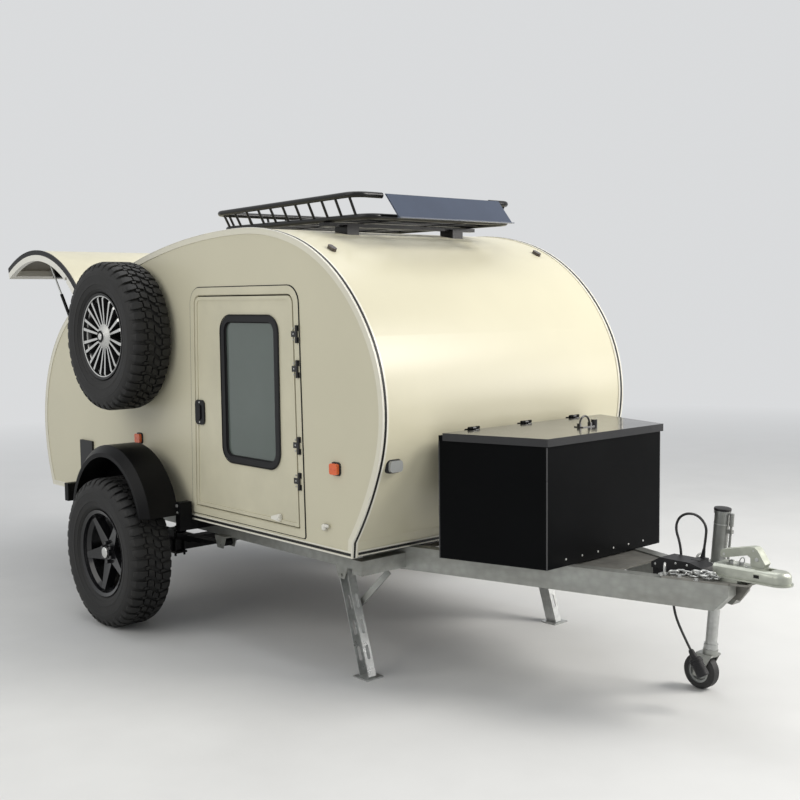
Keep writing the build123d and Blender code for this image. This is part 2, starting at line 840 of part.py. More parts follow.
def make_coupling_head():
    """Pressed coupling head on its packing plate: channel body, domed nose, lever tower and the ball socket."""
    low = coupling_seat + coupling_lift
    packing = block(2800.0, 2900.0, -50.0, 50.0, coupling_seat, low)
    channel = extrude(Plane.XY.offset(low) * make_face(Polyline(
        (2800.0, -50.0), (2964.0, -42.0), (2964.0, 42.0), (2800.0, 50.0), close=True)), coupling_height)
    channel = chamfer(channel.faces().sort_by(Axis.Z)[-1].edges().filter_by(lambda e: abs((e % 0.5).X) > 0.9), 9.0)
    channel = channel - block(2901.0, 2950.0, -36.0, 36.0, low - 1.0, low + coupling_height - 12.0)
    dome = Pos(ball_x, 0, low) * Cylinder(42.0, 50.0, align=(Align.CENTER, Align.CENTER, Align.MIN))
    dome = fillet(dome.faces().sort_by(Axis.Z)[-1].edges(), 24.0)
    neck = block(2940.0, ball_x, -38.0, 38.0, low, low + 36.0)
    neck = chamfer(neck.faces().sort_by(Axis.Z)[-1].edges().filter_by(lambda e: abs((e % 0.5).X) > 0.9), 9.0)
    flange = extrude(Plane.XY.offset(low) * make_face(Polyline(
        (2800.0, -56.0), (ball_x, -48.0), (ball_x, 48.0), (2800.0, 56.0), close=True)), 6.0)
    flange = flange - block(2901.0, 2950.0, -36.0, 36.0, low - 1.0, low + 7.0)
    rim = Pos(ball_x, 0, low) * Cylinder(48.0, 6.0, align=(Align.CENTER, Align.CENTER, Align.MIN))
    tower = block(2942.0, 2988.0, -20.0, 20.0, low + 30.0, low + coupling_pivot - 0.5)
    head = packing + channel + dome + neck + flange + rim + tower
    bore = Pos(ball_x, 0, low - 1.0) * Cylinder(ball_radius, socket_depth + 1.0,
                                               align=(Align.CENTER, Align.CENTER, Align.MIN))
    return head - bore


def make_coupling_lever():
    """Handle of the coupling: a channel that runs back above the head from its hooked front."""
    low = coupling_seat + coupling_lift + coupling_pivot
    side = polygon([
        (2936.0, low), (2985.0, low), (2994.0, low + 14.0), (2962.0, low + 62.0), (2950.0, low + 70.0),
        (2932.0, low + 70.0), (2818.0, low + 44.0), (2811.0, low + 34.0), (2812.0, low + 18.0),
        (2832.0, low + 16.0), (2922.0, low + 38.0), (2934.0, low + 30.0)])
    bar = slab(side, -19.0, 19.0)
    hollow = slab(polygon([
        (2822.0, low + 2.0), (2928.0, low + 2.0), (2928.0, low + 58.0), (2822.0, low + 34.0)]), -14.0, 14.0)
    return bar - hollow


# Running gear

def make_axle():
    """Square axle beam with spindles and brake back plates."""
    end = backplate_y - 15.0
    beam = block(-axle_size / 2, axle_size / 2, -end, end, axle_z - axle_size / 2, axle_z + axle_size / 2)
    pieces = [beam]
    for side in (-1, 1):
        spindle_end = side * (wheel_y - 24.0)
        pieces.append(rod_between((0, side * (end - 10.0), wheel_z), (0, spindle_end, wheel_z), spindle_radius))
        pieces.append(rod_between((0, side * end, wheel_z), (0, side * backplate_y, wheel_z), 118.0))
        pieces.append(rod_between((0, side * (end - 20.0), wheel_z), (0, side * (end + 1.0), wheel_z), 48.0))
    return joined(pieces)


def make_spring():
    """Right leaf spring with eyes, stacked leaves and U-bolts round the axle."""
    seat = axle_z + axle_size / 2
    stack = spring_leaf * spring_leaves
    low = seat + 6.0
    y0, y1 = -spring_y - spring_width / 2, -spring_y + spring_width / 2
    front, rear = (spring_front_x, spring_eye_z), (spring_rear_x, spring_eye_z)
    faces = []
    rise = spring_eye_z - spring_eye_radius + 8.0 - (low + stack - spring_leaf)
    for index in range(spring_leaves):
        share = 1.0 - 0.2 * index
        bottom = low + stack - spring_leaf * (index + 1) - 0.4
        lift = rise * share * share
        x0, x1 = rear[0] * share, front[0] * share
        half_lift = lift * 0.25
        under = [(x0, bottom + lift), (x0 / 2, bottom + half_lift), (0, bottom), (x1 / 2, bottom + half_lift),
                 (x1, bottom + lift)]
        over = [(x, z + spring_leaf + 0.4) for x, z in reversed(under)]
        faces.append(polygon(under + over))
    for x, z in (front, rear):
        faces.append(Pos(x, z) * Circle(spring_eye_radius))
    pieces = [slab(face, y0, y1) for face in faces]
    seat_pad = block(-55.0, 55.0, y0 - 6.0, y1 + 6.0, seat, low)
    clamp = block(-55.0, 55.0, y0 - 6.0, y1 + 6.0, low + stack, low + stack + 10.0)
    spring = joined(pieces + [seat_pad, clamp])
    for x, z in (front, rear):
        spring = spring - slab(Pos(x, z) * Circle(10.0), y0 - 1, y1 + 1)
    bolts = []
    keeper_top = axle_z - axle_size / 2
    for x in (-axle_size / 2 - 9.0, axle_size / 2 + 9.0):
        for y in (y0 - 1.0, y1 + 1.0):
            bolts.append(rod_between((x, y, keeper_top - 24.0), (x, y, low + stack + 16.0), 6.0))
    keeper = block(-56.0, 56.0, y0 - 8.0, y1 + 8.0, keeper_top - 10.0, keeper_top)
    return joined([spring, keeper] + bolts)


def make_spring_hangers():
    """Ears under the rails that carry the spring's eyes on bolts."""
    hangers = []
    half = spring_width / 2
    outer_y = -spring_y - half - 9.0
    for x in (spring_front_x, spring_rear_x):
        face = make_face(Polyline(
            (x - 46.0, rail_bottom), (x + 46.0, rail_bottom), (x + 24.0, spring_eye_z - 24.0),
            (x - 24.0, spring_eye_z - 24.0), close=True))
        for side in (-1, 1):
            y = -spring_y + side * (half + 4.0)
            hangers.append(slab(face, min(y, y + side * 5.0), max(y, y + side * 5.0)))
        hangers.append(block(x - 46.0, x + 46.0, outer_y, -rail_y - rail_width / 2, rail_bottom - 0.0,
                             rail_bottom + 6.0))
        hangers.append(slab(Pos(x, spring_eye_z) * Circle(10.0 - pin_clearance), outer_y - 6.0,
                            -spring_y + half + 15.0))
    return both(joined(hangers))


# Wheels, drawn at the origin with the axle along Y and the outer face towards -Y

bead_gap = 2.0  # between the rim's lip and the tyre's bead
bead_share = 0.765
tyre_profile = [  # share of half width, radius
    (0.96, 246.0),
    (1.00, 290.0),
    (0.97, 326.0),
    (0.84, 356.0),
    (0.60, 367.5),
]


def revolve_profile(points):
    """Ring from (y, radius) points, turned about the Y axis."""
    face = make_face(Polyline(*[(r, y) for y, r in points], close=True))
    plane = Plane(origin=(0, 0, 0), x_dir=(1, 0, 0), z_dir=(0, 0, 1))
    return revolve(plane * face, Axis.Y)


def make_tyre():
    """Plain tyre with its shoulders; the tread blocks stand in its outline."""
    half = tyre_width / 2
    scale = tyre_diameter / 735.0
    bead = rim_lip_radius + bead_gap
    right = [(-bead_share * half, bead)] + [(-share * half, radius * scale) for share, radius in tyre_profile]
    left = [(-y, radius) for y, radius in reversed(right)]
    inner = [(half * 0.60, 201.86), (-half * 0.60, 201.86)]
    return revolve_profile(right + left + inner)


def rim_barrel():
    """Rim well and lips."""
    half = rim_width / 2
    lip = rim_lip_radius
    points = [
        (-half, lip), (-half + 6.0, lip), (-half + 9.0, 203.0), (-half + 34.0, 201.0), (-half + 48.0, 184.0),
        (half - 34.0, 184.0), (half - 20.0, 201.0), (half - 9.0, 203.0), (half - 6.0, lip), (half, lip),
        (half, 202.0), (half - 15.0, 193.0), (half - 30.0, 175.0), (-half + 40.0, 175.0),
        (-half + 24.0, 192.0), (-half + 6.0, 196.0),
    ]
    return revolve_profile(points)


def hub_piece(face_y, depth, bore):
    """Hub disc with a cap, and a blind bore from behind."""
    disc = rod_between((0, face_y, 0), (0, face_y + depth, 0), hub_radius)
    cap = rod_between((0, face_y - 22.0, 0), (0, face_y, 0), 30.0)
    cap = chamfer(cap.edges().sort_by(Axis.Y)[0], 6.0)
    hub = disc + cap
    if bore:
        hub = hub - rod_between((0, face_y - 4.0, 0), (0, face_y + depth + 1, 0), spindle_radius + pin_clearance)
    return hub


def dished(inner_y, outer_y, depth, reach):
    """Dish between the hub and the rim well, from its front face's y at the hub and at the well."""
    return revolve_profile([(inner_y, 40.0), (outer_y, reach - 8.0), (outer_y + 4.0, reach), (outer_y + depth, reach),
                            (inner_y + depth, 40.0)])


def make_road_rim():
    """Black alloy wheel with five spokes that narrow towards the rim."""
    face_y = -rim_face_y + 44.0
    spokes = []
    arm = polygon([(-36.0, -30.0), (-13.0, -196.0), (13.0, -196.0), (36.0, -30.0)])
    for index in range(5):
        spokes.append(Rot(0, 72.0 * index + 6.0, 0) * slab(arm, -rim_face_y, face_y + 60.0))
    star = joined(spokes) & dished(face_y, -rim_face_y + 18.0, 42.0, 191.0)
    return joined([rim_barrel(), hub_piece(face_y, 130.0, True), star])


def make_spare_rim():
    """Silver alloy wheel with ten pairs of slim spokes."""
    face_y = -rim_face_y + 20.0
    spokes = []
    arm = polygon([(-4.5, -48.0), (-7.5, -197.0), (7.5, -197.0), (4.5, -48.0)])
    for index in range(10):
        for lean in (-7.5, 7.5):
            spokes.append(Rot(0, 36.0 * index + lean, 0) * slab(arm, -rim_face_y, face_y + 60.0))
    star = joined(spokes) & dished(face_y, -rim_face_y + 4.0, 30.0, 195.0)
    return joined([rim_barrel(), hub_piece(face_y, 66.0, False), star])


# Fenders, drawn on the right side

def above_ends(face):
    """Part of a face, drawn round the fender's centre, above the level of its ends."""
    keep = Pos(0, 300.0 + fender_end_z - fender_centre_z) * Rectangle(1000.0, 600.0)
    return Pos(0, fender_centre_z) * (face & keep)


def make_fender():
    """Arched steel fender with a broad bevelled outer edge and a flat liner on its inner side."""
    band = Circle(fender_crown_radius) - Circle(fender_crown_radius - fender_sheet)
    crown = slab(above_ends(band), -fender_outer_y + fender_chamfer, -fender_inner_y)
    liner = slab(above_ends(Circle(fender_crown_radius)), -fender_inner_y - fender_liner, -fender_inner_y)
    drop = fender_crown_radius - fender_mouth_radius
    bevel_points = [
        (-fender_outer_y, fender_mouth_radius + drop * 0.35), (-fender_outer_y + fender_chamfer, fender_crown_radius),
        (-fender_outer_y + fender_chamfer + 3.0, fender_crown_radius - fender_sheet),
        (-fender_outer_y + 5.0, fender_mouth_radius + drop * 0.35 - 2.0),
        (-fender_outer_y + 5.0, fender_mouth_radius), (-fender_outer_y, fender_mouth_radius),
    ]
    bevel = Pos(0, 0, fender_centre_z) * revolve_profile(bevel_points)
    below = block(-600, 600, -fender_outer_y - 10.0, -half_width, 0, fender_end_z)
    return crown + liner + (bevel - below)


def make_fender_arms():
    """Square tubes from the rails with uprights: two hold each fender's inner edge, a third stands behind it."""
    arms = []
    half = fender_arm / 2
    top = floor_bottom - edge_proud - 5.0
    high = fender_end_z + 60.0
    for x, end_z in ((-fender_arm_x, high), (fender_arm_x, high), (rear_arm_x, rear_arm_top)):
        arms.append(block(x - half, x + half, -fender_inner_y, -rail_y - rail_width / 2, top - fender_arm, top)
                    + block(x - half, x + half, -fender_inner_y, -fender_inner_y + 66.0, top, end_z))
    return both(kept_apart(arms))


# Spare wheel carrier

def make_spare_carrier():
    """Plate and hub on the right wall that hold the spare wheel."""
    plate = slab(Pos(spare_x, spare_z) * RectangleRounded(260.0, 260.0, 20.0), -half_width - 6.0, -half_width)
    neck = tube_between((spare_x, -half_width - 6.0, spare_z), (spare_x, -spare_y - rim_face_y + 86.0, spare_z),
                        56.0, 44.0)
    return plate + neck


# Tool box, drawn about the centre line

def box_half(x):
    """Half width of the tool box at a station."""
    share = (x - box_rear_x) / (box_front_x - box_rear_x)
    return box_rear_half + (box_front_half - box_rear_half) * share


def box_plan(x0, x1, margin):
    """Plan of the tool box between two stations, moved in at the sides."""
    a, b = box_half(x0) - margin, box_half(x1) - margin
    return make_face(Polyline((x0, -a), (x1, -b), (x1, b), (x0, a), close=True))


def make_toolbox():
    """Open tool box with a fixed strip along the rear of its top."""
    t = box_sheet
    outer = extrude(Plane.XY.offset(box_bottom) * box_plan(box_rear_x, box_front_x, 0.0), box_top - box_bottom)
    inner = extrude(Plane.XY.offset(box_bottom + t) * box_plan(box_rear_x + t, box_front_x - t, t + 1.5),
                    box_top - box_bottom)
    strip = extrude(Plane.XY.offset(box_top - t) * box_plan(box_rear_x + t, lid_rear_x - lid_gap, t + 1.0), t)
    return (outer - inner) + strip


def make_lid():
    """Flat lid with a turned-down lip outside the box."""
    x0, x1 = lid_rear_x, box_front_x + lid_gap + lid_thickness
    over = lid_gap + lid_thickness
    low = box_top + lid_gap
    top = extrude(Plane.XY.offset(low) * box_plan(x0, x1, -over), lid_thickness)
    skirt = extrude(Plane.XY.offset(low - lid_lip) * (
        box_plan(x0, x1, -over) - box_plan(x0 - 50.0, x1 - lid_thickness, -lid_gap)), lid_lip)
    return top + skirt


lid_axis = (lid_rear_x - 3.0, box_top + lid_gap + lid_thickness + 6.0)


def make_lid_hinges():
    """Three hinges along the rear of the lid, as a fixed and a moving node."""
    fixed, moving = [], []
    for y in (-318.0, 0.0, 318.0):
        half_fixed, half_moving = hinge_halves(62.0, 3, 6.0, 22.0, 2.5)
        place = Location(Plane(origin=(lid_axis[0], y - 31.0, lid_axis[1]), x_dir=(-1, 0, 0), z_dir=(0, 1, 0)))
        foot = block(box_rear_x + 0.0, lid_rear_x - lid_gap, y - 31.0, y + 31.0, box_top, lid_axis[1] - 6.0)
        fixed.append(place * half_fixed + foot)
        moving.append(place * half_moving)
    return kept_apart(fixed), kept_apart(moving)


def make_lid_latch():
    """Ring latch on the lid with its lock."""
    x, y = 2112.0, 60.0
    low = box_top + lid_gap + lid_thickness
    base = extrude(Plane.XY.offset(low) * (Pos(x, y) * RectangleRounded(46.0, 90.0, 8.0)), 4.0)
    ears = [block(x - 8.0, x + 8.0, y + s * 34.0 - 5.0, y + s * 34.0 + 5.0, low, low + 16.0) for s in (-1, 1)]
    arc = ThreePointArc((-30.0, 0.0), (0.0, 34.0), (30.0, 0.0))
    path = Plane(origin=(x, y, low + 10.0), x_dir=(0, 1, 0), z_dir=(1, 0, 0)) * arc
    bail = sweep(Plane(origin=path @ 0, z_dir=path % 0) * Circle(4.0), path)
    lock = Pos(x, y + 62.0, low) * Cylinder(13.0, 26.0, align=(Align.CENTER, Align.CENTER, Align.MIN))
    return kept_apart([joined([base] + ears + [bail]), lock])


# Roof rack

def bent_tube(points, radii, radius):
    """Tube along straight runs with rounded corners."""
    path = FilletPolyline(*points, radius=radii)
    return sweep(Plane(origin=path @ 0, z_dir=path % 0) * Circle(radius), path)


def make_rack_frame():
    """Lower and upper rails of the rack with balusters between them."""
    x0, x1 = rack_rear_x, rack_front_x
    low, high = rack_low_half, rack_top_half
    x2 = rack_top_front_x
    rear_z, front_z = rack_top_z - 12.0, rack_top_z + 8.0
    lower = bent_tube([(x0, 0.0, rack_low_z), (x0, low, rack_low_z), (x1, low, rack_low_z), (x1, 0.0, rack_low_z)],
                      60.0, rack_tube)
    upper = bent_tube([(x0 - 6.0, 0.0, rear_z), (x0 - 6.0, high, rear_z), (x2, high, front_z),
                       (x2, high - 150.0, front_z)], 60.0, rack_tube)
    posts = []
    count = 11
    for side in (-1, 1):
        for index in range(count):
            x = x0 + 60.0 + (x1 - x0 - 140.0) * index / (count - 1)
            top = rack_top_z - 12.0 + 20.0 * (x - x0) / (x1 - x0)
            posts.append(rod_between((x, side * low, rack_low_z), (x, side * high, top), 6.0))
    for index in range(8):
        y = -low + 70.0 + (2 * low - 140.0) * index / 7
        posts.append(rod_between((x0, y, rack_low_z), (x0 - 6.0, y * high / low, rack_top_z - 12.0), 6.0))
    return joined([lower, mirrored(lower), upper, mirrored(upper)] + posts)


def make_rack_floor():
    """Flat slats across the rack, on the lower rails."""
    slats = []
    count = 9
    for index in range(count):
        x = rack_rear_x + 90.0 + (rack_front_x - rack_rear_x - 180.0) * index / (count - 1)
        slats.append(block(x - 15.0, x + 15.0, -rack_low_half + 4.0, rack_low_half - 4.0,
                           rack_low_z - 5.0, rack_low_z + 3.0))
    runners = []
    for y in (-200.0, 200.0):
        runners.append(block(rack_rear_x + 4.0, rack_front_x - 4.0, y - 12.0, y + 12.0,
                             rack_low_z - 9.0, rack_low_z - 4.9))
    return joined(slats + runners)


def roof_z(x):
    """Height of the roof skin at a station."""
    edges = outline_edges()
    points = [edge @ (k / 60) for edge in edges[:2] + edges[4:6] for k in range(61)]
    return min(points, key=lambda p: abs(p.X - x)).Y


def make_rack_feet():
    """Two cross bars under the rack, each on a pair of feet."""
    pieces = []
    for x in rack_bars_x:
        z = roof_z(x)
        bar_z = rack_low_z - rack_tube - 9.0
        bar = block(x - 18.0, x + 18.0, -rack_low_half - 30.0, rack_low_half + 30.0, bar_z - 8.0, bar_z + 8.7)
        for y in (-330.0, 330.0):
            foot = block(x - 44.0, x + 44.0, y - 34.0, y + 34.0, z - 12.0, bar_z)
            bar = bar + foot
        pieces.append(bar)
    inside = slab(body_face, -inner_half, inner_half)
    return kept_apart([piece - inside for piece in pieces])


def make_deflector():
    """Raked wind deflector plate with a folded lower lip, on two tabs in front of the rack."""
    top, low = rack_top_z + 12.0, rack_low_z - 6.0
    foot_x, head_x = rack_front_x + 88.0, rack_front_x + 2.0
    side = polygon([(foot_x, low), (foot_x + 8.0, low), (head_x + 8.0, top), (head_x, top)])
    lip = block(foot_x - 2.0, foot_x + 20.0, -356.0, 356.0, low - 5.0, low + 0.1)
    plate = slab(side, -352.0, 352.0)
    tabs = [block(rack_front_x, foot_x - 3.0, y - 20.0, y + 20.0, rack_low_z - 4.0, rack_low_z + 2.0)
            for y in (-250.0, 250.0)]
    return joined([plate, lip] + tabs)


# Front legs, drawn on the right side

leg_dx, leg_dz = leg_foot[0] - leg_pivot[0], leg_foot[1] - leg_pivot[1]
leg_length = hypot(leg_dx, leg_dz)
leg_tilt = degrees(atan2(leg_dx, -leg_dz))


def make_leg():
    """Slotted channel leg from its pivot to its foot plate, leaning forward."""
    section = Rectangle(leg_width, leg_depth) - Pos(0, -leg_sheet) * Rectangle(leg_width - 2 * leg_sheet, leg_depth)
    bar = extrude(Plane.XY.offset(-leg_length) * section, leg_length + 12.0)
    for low in (-120.0, -230.0, -340.0):
        slot = Plane(origin=(0, 2.0, low), x_dir=(0, 0, 1), z_dir=(1, 0, 0)) * SlotOverall(62.0, 16.0)
        bar = bar - extrude(slot, 2 * leg_width, both=True)
    bar = bar - rod_between((0, -leg_depth, 0), (0, leg_depth, 0), leg_bolt + pin_clearance)
    leg = Pos(leg_pivot[0], -leg_y, leg_pivot[1]) * Rot(0, -leg_tilt, 0) * bar
    plate = block(leg_foot[0] - foot_half, leg_foot[0] + foot_half, -leg_y - foot_half, -leg_y + foot_half,
                  0.0, foot_thickness)
    below = block(leg_foot[0] - 300.0, leg_foot[0] + 300.0, -leg_y - 200.0, -leg_y + 200.0, -300.0, foot_thickness / 2)
    return (leg - below) + plate


def make_brace():
    """Flat diagonal brace of the right leg, from the leg up to the cross bar."""
    start, end = Vector(*brace_low), Vector(*brace_high)
    direction = end - start
    across = Vector(-direction.Z, 0, direction.X)
    plane = Plane(origin=start, x_dir=across, z_dir=direction)
    bar = extrude(plane * Rectangle(brace_width, brace_thickness), direction.length)
    boss = rod_between((brace_low[0], brace_low[1] - 5.0, brace_low[2]), (brace_low[0], brace_low[1] + 7.0, brace_low[2]),
                       brace_width / 2)
    bore = rod_between((brace_low[0], -leg_y, brace_low[2]), (brace_low[0], -leg_y + 60.0, brace_low[2]),
                       leg_bolt + pin_clearance)
    return (bar + boss) - bore


def make_brace_pin():
    """Pin on the right leg that the brace turns on."""
    x, y, z = brace_low
    return rod_between((x, -leg_y + leg_depth / 2 - leg_sheet, z), (x, y + 12.0, z), leg_bolt)


def make_leg_brackets():
    """Ears under the rails with the legs' pivot bolts."""
    x, z = leg_pivot
    reach = leg_depth / 2 + 5.0
    plate = 5.0
    pieces = []
    for side in (-1, 1):
        y = -leg_y + side * reach
        face = make_face(Polyline((x - 40.0, rail_bottom), (x + 40.0, rail_bottom), (x + 18.0, z - 16.0),
                                  (x - 18.0, z - 16.0), close=True))
        pieces.append(slab(face, min(y, y + side * plate), max(y, y + side * plate)))
    bolt = rod_between((x, -leg_y - reach - plate - 6.0, z), (x, -leg_y + reach + plate + 6.0, z), leg_bolt)
    cap = block(x - 40.0, x + 40.0, -leg_y - reach - plate, -leg_y + reach + plate, rail_bottom - 0.01, rail_bottom + 4.0)
    rail = block(x - 80.0, x + 80.0, -rail_y - rail_width / 2, -rail_y + rail_width / 2, rail_bottom, floor_bottom)
    return both(joined(pieces + [bolt, cap - rail]))


# Jockey wheel, drawn upright about its own axis and then leaned

jockey_axis = (sin(radians(jockey_lean)), cos(radians(jockey_lean)))


def jockey_place(shape):
    """Lean the jockey pieces so that the lowest point stands at the foot."""
    return Pos(jockey_foot_x, jockey_y, 0) * Rot(0, jockey_lean, 0) * shape


def make_jockey_outer():
    """Outer tube with a cap, and the clamp that holds it to the left drawbar rail."""
    low, top = jockey_outer_bottom, jockey_top
    tube = tube_between((0, 0, low), (0, 0, top - 16.0), jockey_outer_radius, jockey_inner_radius + 0.08)
    tube = tube + rod_between((0, 0, top - 16.0), (0, 0, top), jockey_outer_radius + 3.0)
    tube = tube + tube_between((0, 0, low), (0, 0, low + 22.0), jockey_outer_radius + 4.0, jockey_inner_radius + 0.08)
    return jockey_place(tube)


def make_jockey_clamp():
    """Clamp ring and bracket between the outer tube and the left drawbar rail."""
    mid = drawbar_bottom + drawbar_height / 2
    ring_piece = tube_between((0, 0, mid - 36.0), (0, 0, mid + 36.0), jockey_outer_radius + 12.0, jockey_outer_radius)
    ring_piece = jockey_place(ring_piece)
    x = jockey_foot_x + mid * tan(radians(jockey_lean))
    face = drawbar_outer(x)
    arm = block(x - 20.0, x + 20.0, face - 10.0, jockey_y, mid - 22.0, mid + 22.0)
    plate = block(x - 60.0, x + 60.0, face - 20.0, face + 26.0, mid - 40.0, mid + 40.0)
    tube = jockey_place(rod_between((0, 0, 100.0), (0, 0, 900.0), jockey_outer_radius + 5.0))
    bore = jockey_place(rod_between((0, 0, 100.0), (0, 0, 900.0), jockey_outer_radius))
    rail = mirrored(make_drawbar_rail())
    return (ring_piece + (arm - tube) + (plate - tube) - bore) - rail


def make_jockey_rod():
    """Thin wind rod beside the outer tube, with its crank at the top."""
    x = jockey_outer_radius + 14.0
    rod = rod_between((x, 0, jockey_outer_bottom + 40.0), (x, 0, jockey_top - 60.0), 5.0)
    for z in (jockey_outer_bottom + 60.0, jockey_top - 90.0):
        rod = rod + block(jockey_outer_radius - 2.0, x + 8.0, -8.0, 8.0, z, z + 14.0)
    grip = rod_between((x, 0, jockey_top - 60.0), (x, 0, jockey_top - 10.0), 9.0)
    bore = rod_between((0, 0, 0), (0, 0, 900.0), jockey_outer_radius)
    return jockey_place((rod + grip) - bore)


def make_jockey_leg():
    """Inner tube that slides in the outer tube, with the collar of the swivel."""
    tube = rod_between((0, 0, jockey_collar_z), (0, 0, jockey_top - 22.0 - jockey_lift), jockey_inner_radius)
    collar = rod_between((0, 0, jockey_collar_z), (0, 0, jockey_collar_z + 22.0), jockey_inner_radius + 5.0)
    pin = rod_between((0, 0, jockey_collar_z - 26.0), (0, 0, jockey_collar_z + 2.0), 9.0)
    return jockey_place(tube + collar + pin)


def make_jockey_fork():
    """Swivel fork over the wheel."""
    head = rod_between((0, 0, jockey_collar_z - 28.0), (0, 0, jockey_collar_z - 0.5), 30.0)
    head = head - rod_between((0, 0, jockey_collar_z - 28.0), (0, 0, jockey_collar_z), 9.0 + pin_clearance)
    half = jockey_wheel_width / 2
    bridge = block(-44.0, 26.0, -half - 11.0, half + 11.0, jockey_collar_z - 28.0, jockey_collar_z - 20.0)
    bridge = bridge - rod_between((0, 0, 0), (0, 0, jockey_collar_z), 9.0 + pin_clearance)
    cheeks = []
    for side in (-1, 1):
        y = side * (half + 6.0)
        face = make_face(Polyline((-44.0, jockey_collar_z - 20.0), (26.0, jockey_collar_z - 20.0),
                                  (-jockey_trail + 18.0, jockey_wheel_radius - 16.0),
                                  (-jockey_trail - 18.0, jockey_wheel_radius - 16.0), close=True))
        cheeks.append(slab(face, min(y, y + side * 5.0), max(y, y + side * 5.0)))
    x, z = -jockey_trail, jockey_wheel_radius + 1.0
    bolt = rod_between((x, -half - 17.0, z), (x, half + 17.0, z), 6.0)
    return jockey_place(joined([head, bridge] + cheeks + [bolt]))


def make_jockey_tyre():
    """Jockey wheel's tyre."""
    half = jockey_wheel_width / 2
    r = jockey_wheel_radius
    tyre = revolve_profile([(-half + 8.0, r), (half - 8.0, r), (half, r - 10.0), (half, r - 26.0),
                            (-half, r - 26.0), (-half, r - 10.0)])
    return jockey_place(Pos(-jockey_trail, 0, r + 1.0) * tyre)


def make_jockey_hub():
    """Jockey wheel's disc and bearing tube."""
    half = jockey_wheel_width / 2
    r = jockey_wheel_radius
    hub = revolve_profile([(-half + 5.0, r - 26.0), (-half + 5.0, r - 34.0), (-6.0, r - 38.0), (-6.0, 16.0),
                           (-half, 14.0), (-half, 6.0 + pin_clearance), (half, 6.0 + pin_clearance), (half, 14.0),
                           (6.0, 16.0), (6.0, r - 38.0), (half - 5.0, r - 34.0), (half - 5.0, r - 26.0)])
    return jockey_place(Pos(-jockey_trail, 0, r + 1.0) * hub)


# Cable, plug, chains and small pieces at the drawbar's tip

cable_radius = 5.0
cable_y = 52.0
cable_points = [
    (2690.0, cable_y, coupling_seat + 46.0),
    (2700.0, cable_y, 674.0),
    (2700.0, cable_y, 736.0),
    (2652.0, cable_y, 778.0),
    (2590.0, cable_y, 762.0),
    (2566.0, cable_y, 704.0),
    (2590.0, cable_y, 640.0),
    (2596.0, cable_y, 570.0),
    (2570.0, cable_y, 502.0),
    (2556.0, cable_y, 430.0),
    (2568.0, cable_y, 358.0),
    (2602.0, cable_y, 294.0),
    (2640.0, cable_y, 236.0),
]
cable_bracket_x = (2530.0, 2770.0)


def make_cable_bracket():
    """Folded cover on the coupling plate that the cable leaves from."""
    x0, x1 = cable_bracket_x
    z = coupling_seat
    side = make_face(Polyline((x0, z), (x1, z), (x1 - 16.0, z + 30.0), (x1 - 70.0, z + 44.0),
                              (x0 + 40.0, z + 44.0), (x0, z + 22.0), close=True))
    cover = slab(side, -52.0, cable_y - cable_radius - 5.0)
    exit_x, exit_y, exit_z = cable_points[0]
    cover = cover + block(exit_x - 18.0, exit_x + 18.0, 0.0, exit_y + 14.0, z, exit_z - 1.0)
    foot = block(x0, coupling_plate_rear, -40.0, 40.0, drawbar_bottom + 60.0, z)
    hollow = block(x0 + 10.0, coupling_plate_rear - 10.0, -30.0, 30.0, drawbar_bottom + 59.0, z + 20.0)
    return (cover + foot) - hollow


plug_start = (cable_points[-1][0] + 0.15, cable_y, cable_points[-1][2] - 0.25)
plug_end = (2700.0, cable_y, 144.0)


def cable_bends():
    """Radius at each inner point of the cable's route, as large as its two runs allow."""
    bends = []
    for before, here, after in zip(cable_points, cable_points[1:], cable_points[2:]):
        first, second = Vector(*here) - Vector(*before), Vector(*after) - Vector(*here)
        turn = first.get_angle(second)
        bends.append(0.45 * min(first.length, second.length) / tan(radians(turn / 2)))
    return bends


def make_cable():
    """Electric cable in a loop over the tip and then hanging between the rails."""
    path = FilletPolyline(*cable_points, radius=cable_bends())
    tube = sweep(Plane(origin=path @ 0, z_dir=path % 0) * Circle(cable_radius), path)
    print("cable length", round(path.length), "bends", [round(r) for r in cable_bends()],
          "volume share", round(tube.volume / (pi * cable_radius ** 2 * path.length), 4))
    return tube


def make_plug():
    """Round plug at the end of the cable, with its finned collar."""
    direction = Vector(*plug_end) - Vector(*plug_start)
    plane = Plane(origin=plug_start, z_dir=direction)
    length = direction.length
    body = extrude(plane * Circle(14.0), 34.0)
    body = body + extrude(plane.offset(34.0) * Circle(24.0), length - 34.0)
    body = body + extrude(plane.offset(44.0) * Circle(27.0), 12.0)
    hollow = extrude(plane.offset(length - 22.0) * Circle(20.0), 30.0)
    return body - hollow


chain_wire = 6.0
chain_length = 36.0
chain_width = 23.0
chain_slack = 0.6
chain_points = [
    (2664.0, -112.0, coupling_seat + 10.6),
    (2706.0, -76.0, coupling_seat + 10.6),
    (2824.0, -66.0, coupling_seat + 10.6),
]
shackle_at = (2664.0, -112.0)


def chain_link():
    """Flat-sided link lying in its local XY plane, long side on X."""
    inner = SlotOverall(chain_length - 2 * chain_wire, chain_width - 2 * chain_wire)
    face = SlotOverall(chain_length, chain_width) - inner
    return extrude(Plane.XY.offset(-chain_wire / 2) * face, chain_wire)


def make_chain(points):
    """Links along straight runs, neighbours turned a quarter."""
    pitch = chain_length - 2 * chain_wire - chain_slack
    path = Polyline(*points)
    count = int(path.length / pitch)
    link = chain_link()
    links = []
    for index in range(count):
        share = (index + 0.5) * pitch / path.length
        spot, heading = path @ share, path % share
        plane = Plane(origin=spot, x_dir=heading, z_dir=(0, 0, 1))
        roll = 45.0 if index % 2 else -45.0
        links.append(Location(plane) * Rot(roll, 0, 0) * link)
    return kept_apart(links)


